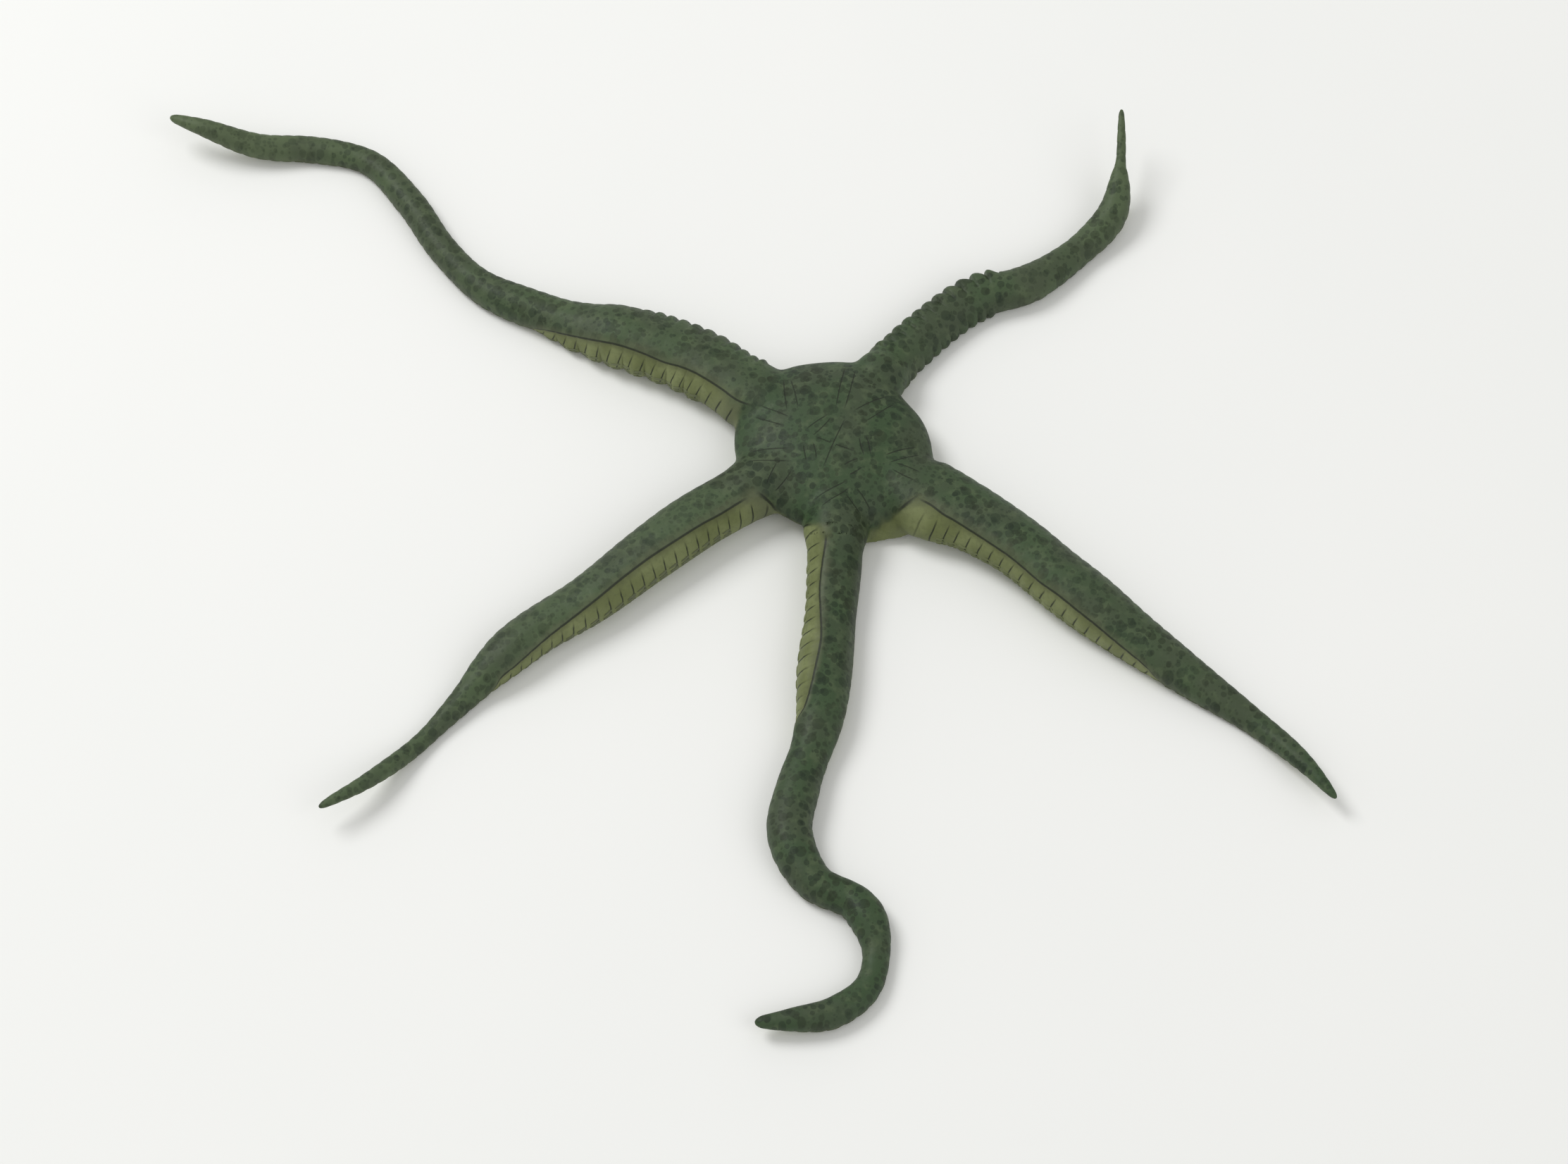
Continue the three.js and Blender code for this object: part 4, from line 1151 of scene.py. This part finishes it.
def back_colour(skin, where, tone):
    """Dark green with a grey wash and pale mist, and round blotches over blotches of three sizes."""
    bent = skin.node("ShaderNodeVectorMath", {"operation": "MULTIPLY_ADD"},
                     {0: skin.noise(where, 0.8, 1.0).beside("Color"), 1: (0.22, 0.22, 0.22), 2: where})
    tall = skin.node("ShaderNodeVectorMath", {"operation": "MULTIPLY"}, {0: bent, 1: (1, 1, 0.5)})
    back = skin.mix(tone, BACK, BACK_LIGHT)
    back = skin.mix(skin.step(skin.noise(where, 7.5, 2.0), 0.38, 0.64) * 0.7, back, WASH)
    back = skin.mix(skin.step(skin.noise(where, 1.7, 3.0), 0.48, 0.7) * 0.45, back, BACK_LIGHT)
    blotch = skin.mix(skin.step(skin.noise(where, 4.0, 1.0), 0.4, 0.6), BLOTCH, BLOTCH_BROWN)
    crowd = (skin.step(skin.noise(where, 9.0, 1.0), 0.35, 0.65) * 0.2 + 0.43) * (1 - tone * 0.5)
    for size, share in BLOTCHES:
        back = skin.mix(skin.spots(tall, size, share, 0.24, 0.035) * crowd, back, blotch)
    return skin.mix(skin.spots(tall, 0.55, 0.5, 0.22, 0.08) * 0.35, back, blotch)


print(f"blotches of {', '.join(str(size) for size, _ in BLOTCHES)} mm")

# %% [markdown]
# ### The pale flank, the creases and the whole skin
# The flank and the under side are pale yellow green, and there the grooves between plates get painted shade.
# The points' values say where the back ends, where a groove, fold or crease with painted shade runs and how
# softly one colour changes to the other.  The skin is leathery and damp: a little rough, with a thin coat of
# wet.  Its finest grain is left to a bump, which only tilts the light.

# %% The skin's material
PLATE_PITCH = 1.9
SOLE_EDGE = 2.35


def pale_colour(skin, wobble, fine, where, part, groove):
    """Yellow green with painted shade under the ridge, in the grooves between plates, in the slits and in the
    mouth, and with the rows of plates of the sole.
    """
    band, soft, tone = skin.number("band"), skin.number("soft"), skin.number("tone")
    pale = skin.mix(skin.step(skin.noise(where, 5.0, 2.0), 0.35, 0.65), PALE, PALE_LIGHT)
    pale = skin.mix((1 - skin.step(fine, 0.3, 0.55)) * 0.25, pale, PALE_DARK_AND_SHADE)
    # Painted shade just under the ridge, where it stands over the flank.
    pale = skin.mix((1 - skin.step(band + wobble * 0.3, 1.0, 1.3)) * 0.6, pale, PALE_DARK_AND_SHADE)
    pale = skin.mix(soft * tone * 2.4, pale, WASH_LIGHT)
    # Painted shade in the grooves between plates.
    pale = skin.mix(groove * 0.9, pale, PAINTED_SHADE)
    sole = skin.line(part * PLATE_PITCH, 0.05, 0.2) * skin.step(band, SOLE_EDGE - 0.1, SOLE_EDGE)
    rim = skin.line(band - SOLE_EDGE, 0.02, 0.06)
    pale = skin.mix((sole + rim) * 0.35 * (1 - soft), pale, PALE_DARK_AND_SHADE)
    # Painted shade in the slits and inside the mouth.
    slit = skin.line(skin.number("slit"), 0.12, 0.26) * skin.number("slit_there")
    return skin.mix((slit + skin.number("mouth")) * 0.8, pale, PAINTED_SHADE)


def skin_finish():
    skin = Finish("mottled_skin", Roughness=0.6, Specular_IOR_Level=0.3, Coat_Weight=0.06, Coat_Roughness=0.4)
    where = skin.place()
    band, soft = skin.number("band"), skin.number("soft")
    wobble, fine = skin.noise(where, 1.4, 1.0) - 0.5, skin.noise(where, 0.5, 3.0)

    folded = skin.line(skin.number("fold"), 0.03, 0.12) * skin.number("fold_shows")
    back = skin.mix(skin.step(band + wobble * 0.3, 0.7, 1.0) * 0.5 * (1 - soft),
                    back_colour(skin, where, skin.number("tone")), WASH_LIGHT)
    # Painted shade along the folds of the disc.
    back = skin.mix(folded * 0.8, back, PAINTED_SHADE)

    part = skin.node("ShaderNodeMath", {"operation": "PINGPONG"},
                     {0: skin.number("plate") + wobble * 0.1, 1: 0.5})
    # Where painted shade darkens the grooves between plates; the same mask also deepens them in the bump.
    groove = skin.line(part * PLATE_PITCH, 0.05, 0.16) * skin.number("suture_shade")
    spread = soft * 0.55 + 0.015
    under = skin.step(band + wobble * (soft * 0.5 + 0.04), 1 - spread, 1.01 + spread)
    looks = skin.mix(under, back, pale_colour(skin, wobble, fine, where, part, groove))
    # Painted shade along the ridge's crease and under the disc's overhanging margin.
    for shaded_crease in ("ridge", "margin"):
        dark = skin.line(skin.number(shaded_crease + "_gap"), 0.08, 0.24) * skin.number(shaded_crease + "_shows")
        looks = skin.mix(dark * 0.88, looks, PAINTED_SHADE)

    skin.give("Base Color", looks)
    height = fine * 0.05 + skin.noise(where, 1.1, 2.0) * 0.07 - folded * 0.1 - groove * 0.05
    skin.give("Normal", skin.bump(height, 0.7))
    skin.give("Roughness", skin.step(fine, 0.2, 0.8) * 0.14 + 0.52)
    return skin.material


skin_material = skin_finish()
print(f"{len(skin_material.node_tree.nodes)} nodes in the skin's material")

# %% Dress the skin
flesh = [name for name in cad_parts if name.startswith(("disc", "arm"))]
give(finished(skin_mesh, skin_material), flat_map, band=band, plate=plate, tone=tone, suture_shade=suture_shade,
     soft=soft, fold=fold, fold_shows=fold_shows, slit=slit, slit_there=slit_there, mouth=mouth,
     ridge_gap=ridge_gap, ridge_shows=ridge_shows, margin_gap=margin_gap, margin_shows=margin_shows)
new_piece("skin", skin_mesh, "skin_upper", *flesh)
print(f"the skin stands for {len(flesh)} of the {len(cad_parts)} solids")

# %% [markdown]
# ## Spines
# Along the lower flank every side plate carries short blunt spines that lie flat against the skin, pointing
# to the arm's tip.  On this smooth-skinned kind they are hardly seen, but they make the fine edge of the
# arm where it meets the floor.  Copies of one spine on a path would all look alike and stand off the bends.
# Here each spine is a tapering tube whose middle line is asked from the arm itself, a little above the
# skin, so it follows every cushion and bend.  It takes the skin's own values at its root, and so its colour.

# %% The spines' shapes
SPINE_ANGLES = [113, 121, 129]
SPINE_RUN = np.array([0.12, 0.25, 0.45, 0.7, 0.88, 0.97])
SPINE_GIRTH = np.array([0.6, 0.95, 1, 0.8, 0.55, 0.25])
SPINE_LIFT = np.array([-0.15, -0.08, -0.05, -0.03, 0.0, 0.02])
SPINE_THICKNESS = 0.42
SPINE_WIDE, SPINE_FLAT = 1.15, 0.8
SPINE_SIDES = 6
SPINE_SEED = 11
FULL_WIDTH = 8
FLOOR_ROOM = 0.25


def arm_spines(arm, seed):
    """Rings of every spine of an arm, and the share and angle of its root."""
    drawn = np.random.default_rng(seed)
    plates, sides, angles = np.meshgrid(np.arange(2, arm.plates - 2), [-1, 1], SPINE_ANGLES, indexing="ij")
    plates, sides = plates.ravel(), sides.ravel()
    count = len(plates)
    angles = sides * (angles.ravel() + drawn.uniform(-2, 2, count))
    run = SPINE_RUN[None] * drawn.uniform(0.85, 1.05, (count, 1)) + drawn.uniform(-0.04, 0.04, (count, 1))
    share = arm.share_at(plates[:, None] + run)
    size = np.minimum(1, 2 * arm.at(arm.half, share) / FULL_WIDTH)
    angle = np.broadcast_to(angles[:, None], share.shape)
    middle = skin_place(arm, share, angle, SPINE_LIFT * size)
    out = unit(skin_place(arm, share, angle, 0.3) - skin_place(arm, share, angle))
    across = unit(np.cross(unit(np.gradient(middle, axis=1)), out))
    turn = np.linspace(2 * math.pi, 0, SPINE_SIDES, endpoint=False)[:, None]
    girth = (SPINE_THICKNESS / 2 * SPINE_GIRTH * size)[:, :, None, None]
    rings = middle[:, :, None] + girth * (across[:, :, None] * np.cos(turn) * SPINE_WIDE
                                          + out[:, :, None] * np.sin(turn) * SPINE_FLAT)
    clear = middle[:, :, 2].min(axis=1) > FLOOR_ROOM
    return rings[clear], share[clear, 0], angle[clear, 0]


spine_sets = [arm_spines(arm, SPINE_SEED + k) for k, arm in enumerate(arms)]
spine_points, spine_faces = joined_shapes([tube(rings) for spines, _, _ in spine_sets for rings in spines])
print(f"{sum(len(spines) for spines, _, _ in spine_sets)} spines")

# %% [markdown]
# ### The spines' colours
# A spine is the skin's own colour, so it lies on the skin's flat map too: all its faces share a small patch
# at the place of its root.  Its plate, band and tone are those of the root as well.

# %% The spines as one piece
SPINE_PATCH = 0.003


def flat_place(k, share, angle):
    """Where places on an arm lie on the skin's flat map."""
    rings_share, rings_angle = (lofts[k][key][:-1].reshape(-1, len(ROWS)) for key in ("share", "angle"))
    ring = np.searchsorted(rings_share[:, 0], share).clip(0, len(rings_share) - 1)
    row = np.abs(rings_angle[ring] - angle[:, None]).argmin(axis=1)
    return point_map[starts[k] + ring * len(ROWS) + row]


def spine_patch():
    """Flat places for the corners of a spine's faces, from -0.5 to 0.5 round it and along it."""
    rings, patch = len(SPINE_RUN), []
    for face in tube(np.zeros((rings, SPINE_SIDES, 3)))[1]:
        spots = [divmod(i, SPINE_SIDES) for i in face]
        sides = {side for _, side in spots}
        closing = len(face) == 4 and sides == {0, SPINE_SIDES - 1}
        patch += [((SPINE_SIDES if closing and side == 0 else side) / SPINE_SIDES - 0.5,
                   ring / (rings - 1) - 0.5) for ring, side in spots]
    return np.array(patch)


roots = np.vstack([flat_place(k, share, angle) for k, (_, share, angle) in enumerate(spine_sets)])
spine_flat = roots[:, None] + SPINE_PATCH * spine_patch()
points_each = len(SPINE_RUN) * SPINE_SIDES
spine_share = np.repeat(np.concatenate([share for _, share, _ in spine_sets]), points_each)
spine_angle = np.repeat(np.concatenate([angle for _, _, angle in spine_sets]), points_each)
spine_arm = np.repeat(range(len(arms)), [len(spines) * points_each for spines, _, _ in spine_sets])
spine_band = by_arm(spine_arm, band_of, spine_share, spine_angle)

spine_mesh = finished(new_mesh("spines", spine_points, spine_faces), skin_material)
give(spine_mesh, spine_flat, band=spine_band, plate=by_arm(spine_arm, slanted, spine_share, spine_band),
     tone=by_arm(spine_arm, lightness, spine_share), soft=1, suture_shade=0, fold_shows=0, slit_there=0, mouth=0)
new_piece("spines", spine_mesh, "skin_upper")
print(f"{sum(len(p.vertices) - 2 for p in spine_mesh.polygons)} triangles in the spines")

# %% [markdown]
# ## Jaws
# Five wedge-shaped jaws close the mouth like the segments of an iris.  Each is a bony plate under a thin
# skin, with a stack of teeth at its tip and a row of small blunt pegs, the papillae, along both sides.
# They could be one sculpted ring, but jaws are bones that part from each other.  So each is a form of its
# own: a block of few faces with the right outline, rounded by a subdivision surface, as a carver would
# rough it out first and smooth it after.

# %% One jaw
JAW_TIP, JAW_SHOULDER, JAW_BACK = 0.9, 3.5, 4.45
JAW_TIP_HALF, JAW_HALF = 0.32, 1.85
JAW_LOW, JAW_HIGH = 0.5, 1.5
TOOTH_LENGTH, TOOTH_THICKNESS = 0.62, 0.42
PAPILLAE = 5
PAPILLA_SIDES = 8
PEG_RUN, PEG_GIRTH = np.array([0, 0.3, 0.65, 0.9, 1.0]), np.array([0.7, 1, 0.95, 0.6, 0.2])


def jaw_body():
    """A wedge along +X, its tip towards the mouth's middle, in four layers so that it keeps its edges."""
    outline = [(JAW_TIP, JAW_TIP_HALF), (0.5 * (JAW_TIP + JAW_SHOULDER), 0.62 * JAW_HALF),
               (JAW_SHOULDER, JAW_HALF), (JAW_BACK, 0.9 * JAW_HALF), (JAW_BACK - 0.1, 0)]
    outline = outline + [(x, -y) for x, y in outline[-2::-1]]
    layers = [(0.84, JAW_HIGH), (1, JAW_HIGH - 0.2), (1, JAW_LOW + 0.12), (0.86, JAW_LOW)]
    centre = 0.5 * (JAW_TIP + JAW_BACK)
    rings = np.array([[(centre + (x - centre) * grow, y * grow, z) for x, y in outline]
                      for grow, z in layers])
    block = modified("jaw_block", tube(rings), "SUBSURF", levels=2)
    return points_of(block), [list(face.vertices) for face in block.polygons]


def peg(root, way, length, thickness):
    """A blunt peg: a short tube, thickest in its middle, with a round tip."""
    way = unit(np.array(way, float))
    side = unit(np.cross(way, [0, 0, 1]))
    up = np.cross(side, way)
    turn = np.linspace(2 * math.pi, 0, PAPILLA_SIDES, endpoint=False)[:, None]
    ring = side * np.cos(turn) + up * np.sin(turn)
    middle = np.array(root) + np.outer(PEG_RUN * length, way)
    return tube(middle[:, None, :] + thickness / 2 * PEG_GIRTH[:, None, None] * ring[None])


def jaw_shapes():
    """A jaw with its teeth, and a papilla on each side at even steps from the tip to the shoulder."""
    shapes = [jaw_body()]
    for z in (JAW_LOW + 0.18, JAW_HIGH - 0.35):
        shapes.append(peg((JAW_TIP + 0.3, 0, z), (-1, 0, -0.1), TOOTH_LENGTH, TOOTH_THICKNESS))
    slope = (JAW_HALF - JAW_TIP_HALF) / (JAW_SHOULDER - JAW_TIP)
    for k in range(PAPILLAE):
        x = JAW_TIP + 0.35 + k * (JAW_SHOULDER - JAW_TIP - 0.3) / (PAPILLAE - 1)
        for side in (-1, 1):
            y = side * (JAW_TIP_HALF + slope * (x - JAW_TIP) - 0.3)
            root = (x, y, JAW_LOW + 0.16)
            shapes.append(peg(root, (-0.35, side, -0.12), 0.5 - 0.02 * k, 0.38 + 0.03 * k))
    return joined_shapes(shapes)


jaw_points, jaw_faces = jaw_shapes()
print(f"{len(jaw_points)} points in a jaw with its {2 * PAPILLAE} papillae and 2 teeth")

# %% [markdown]
# ### Bone, and five jaws
# The jaws are chalky skeleton under thin skin: cream, stained in patches and finely grained.  The same jaw
# is set five times round the mouth, a fifth of a turn apart.

# %% The jaws' finish, and five jaws
FIRST_JAW_BEARING = 24
FIFTH_TURN = 72
BONE = colour(168, 165, 124)
BONE_STAIN = colour(140, 138, 92)
BONE_LIGHT = colour(196, 192, 158)


def jaw_finish():
    jaw = Finish("jaw_bone", Roughness=0.6, Specular_IOR_Level=0.35, Coat_Weight=0.08)
    where = jaw.place()
    grain, stain = jaw.noise(where, 0.22, 2.0), jaw.noise(where, 1.3, 2.0)
    base = jaw.mix(jaw.step(stain, 0.4, 0.7) * 0.6, BONE, BONE_STAIN)
    jaw.give("Base Color", jaw.mix(jaw.step(grain, 0.55, 0.75) * 0.4, base, BONE_LIGHT))
    jaw.give("Normal", jaw.bump(grain * 0.06, 0.6))
    jaw.give("Roughness", jaw.step(stain, 0.2, 0.8) * 0.2 + 0.5)
    return jaw.material


jaw_material = jaw_finish()
for k in range(5):
    name = f"jaw_bone_{k + 1}"
    turned = from_disc(*jaw_points.T, FIRST_JAW_BEARING + FIFTH_TURN * k)
    new_piece(name, finished(new_mesh(name, turned, jaw_faces), jaw_material), "jaw", f"jaw_{k + 1}")
print("5 jaws round the mouth")

# %% [markdown]
# ### Oral shields
# Behind each jaw, between the roots of two arms, a smooth rounded plate lies in the under skin.  One of
# the five, a little larger, is the sieve plate through which the animal takes in water.  Painted on, they
# would vanish in a low light, so they are low domes with a rim.

# %% The shields
SHIELD_RADIUS = 7.3
SHIELD_HALF = (1.45, 1.6)
SHIELD_SIDES = 40
SHIELD_DOME = [(0.08, 0.34), (0.4, 0.31), (0.7, 0.24), (0.88, 0.14), (0.93, 0.16), (1.02, 0.0), (1.06, -0.25)]
SIEVE_PLATE, SIEVE_SIZE = 2, 1.1


def shield(bearing, size):
    """A low dome with a flat rim, drawn in towards the mouth, its middle nearest to the floor."""
    turn = np.linspace(0, 2 * math.pi, SHIELD_SIDES, endpoint=False)
    pointed = 1 - 0.16 * np.cos(turn) * np.abs(np.cos(turn)) - 0.05 * np.cos(3 * turn)
    reach, stand = np.array(SHIELD_DOME).T[:, :, None]
    x, y = (SHIELD_HALF[0] * reach * np.cos(turn) * pointed, SHIELD_HALF[1] * reach * np.sin(turn) * pointed)
    height = np.broadcast_to(DISC_CLEARANCE - stand, x.shape)
    return tube(from_disc(x * size + SHIELD_RADIUS, y * size, height, bearing))


shields = [shield(FIRST_JAW_BEARING + FIFTH_TURN * k, SIEVE_SIZE if k == SIEVE_PLATE else 1)
           for k in range(5)]
shield_mesh = new_mesh("oral_shields", *joined_shapes(shields))
new_piece("oral_shields", finished(shield_mesh, jaw_material), "jaw")
print(f"5 shields, {SHIELD_HALF[0] * 2:.1f} mm long")

# %% [markdown]
# ## Floor and light
# A museum's picture has a plain pale ground and soft light from large panels, with one side a little
# brighter so that the form reads.  The ground is a wide disc, so that its edge lies out of the picture.

# %% Floor
FLOOR_REACH = 3000


def floor_finish():
    floor = Finish("pale_floor", Roughness=0.9)
    cloud = floor.noise(floor.place(), 60.0, 3.0)
    floor.give("Base Color", floor.mix(cloud, colour(247, 248, 246), colour(251, 251, 249)))
    return floor.material


def floor_mesh(rings=24, around=96):
    """A round ground with finer rings near its middle, facing up."""
    radius = FLOOR_REACH * (np.arange(1, rings + 1) / rings) ** 2.5
    turn = np.linspace(2 * math.pi, 0, around, endpoint=False)
    x, y = np.outer(radius, np.cos(turn)), np.outer(radius, np.sin(turn))
    points = np.stack([x, y, np.zeros_like(x)], axis=2).reshape(-1, 3)
    return new_mesh("floor", points * MM, [*quads(rings, around), list(range(around))[::-1]])


floor = placed("floor", floor_mesh())
floor.data.materials.append(floor_finish())
print(f"the floor reaches {FLOOR_REACH * MM:.0f} m out")

# %% Lights
def panel(name, place, size, power):
    """A round panel of light that faces the model, with its place and size in metres and power in watts."""
    light = bpy.data.lights.new(name, "AREA")
    light.shape, light.size, light.energy = "DISK", size, power
    lamp = placed(name, light)
    lamp.location = place
    lamp.rotation_euler = (-Vector(place)).to_track_quat("-Z", "Y").to_euler()


panel("key", (-0.55, 0.35, 0.8), 0.5, 4.6)
panel("fill", (0.7, -0.5, 0.7), 0.8, 1.8)
world = bpy.data.worlds.new("studio")
world.use_nodes = True
sky = world.node_tree.nodes["Background"]
sky.inputs["Color"].default_value = colour(237, 237, 235)
sky.inputs["Strength"].default_value = 0.64
bpy.context.scene.world = world
bpy.context.scene.view_settings.view_transform = "Standard"
print("2 panels and a pale sky")
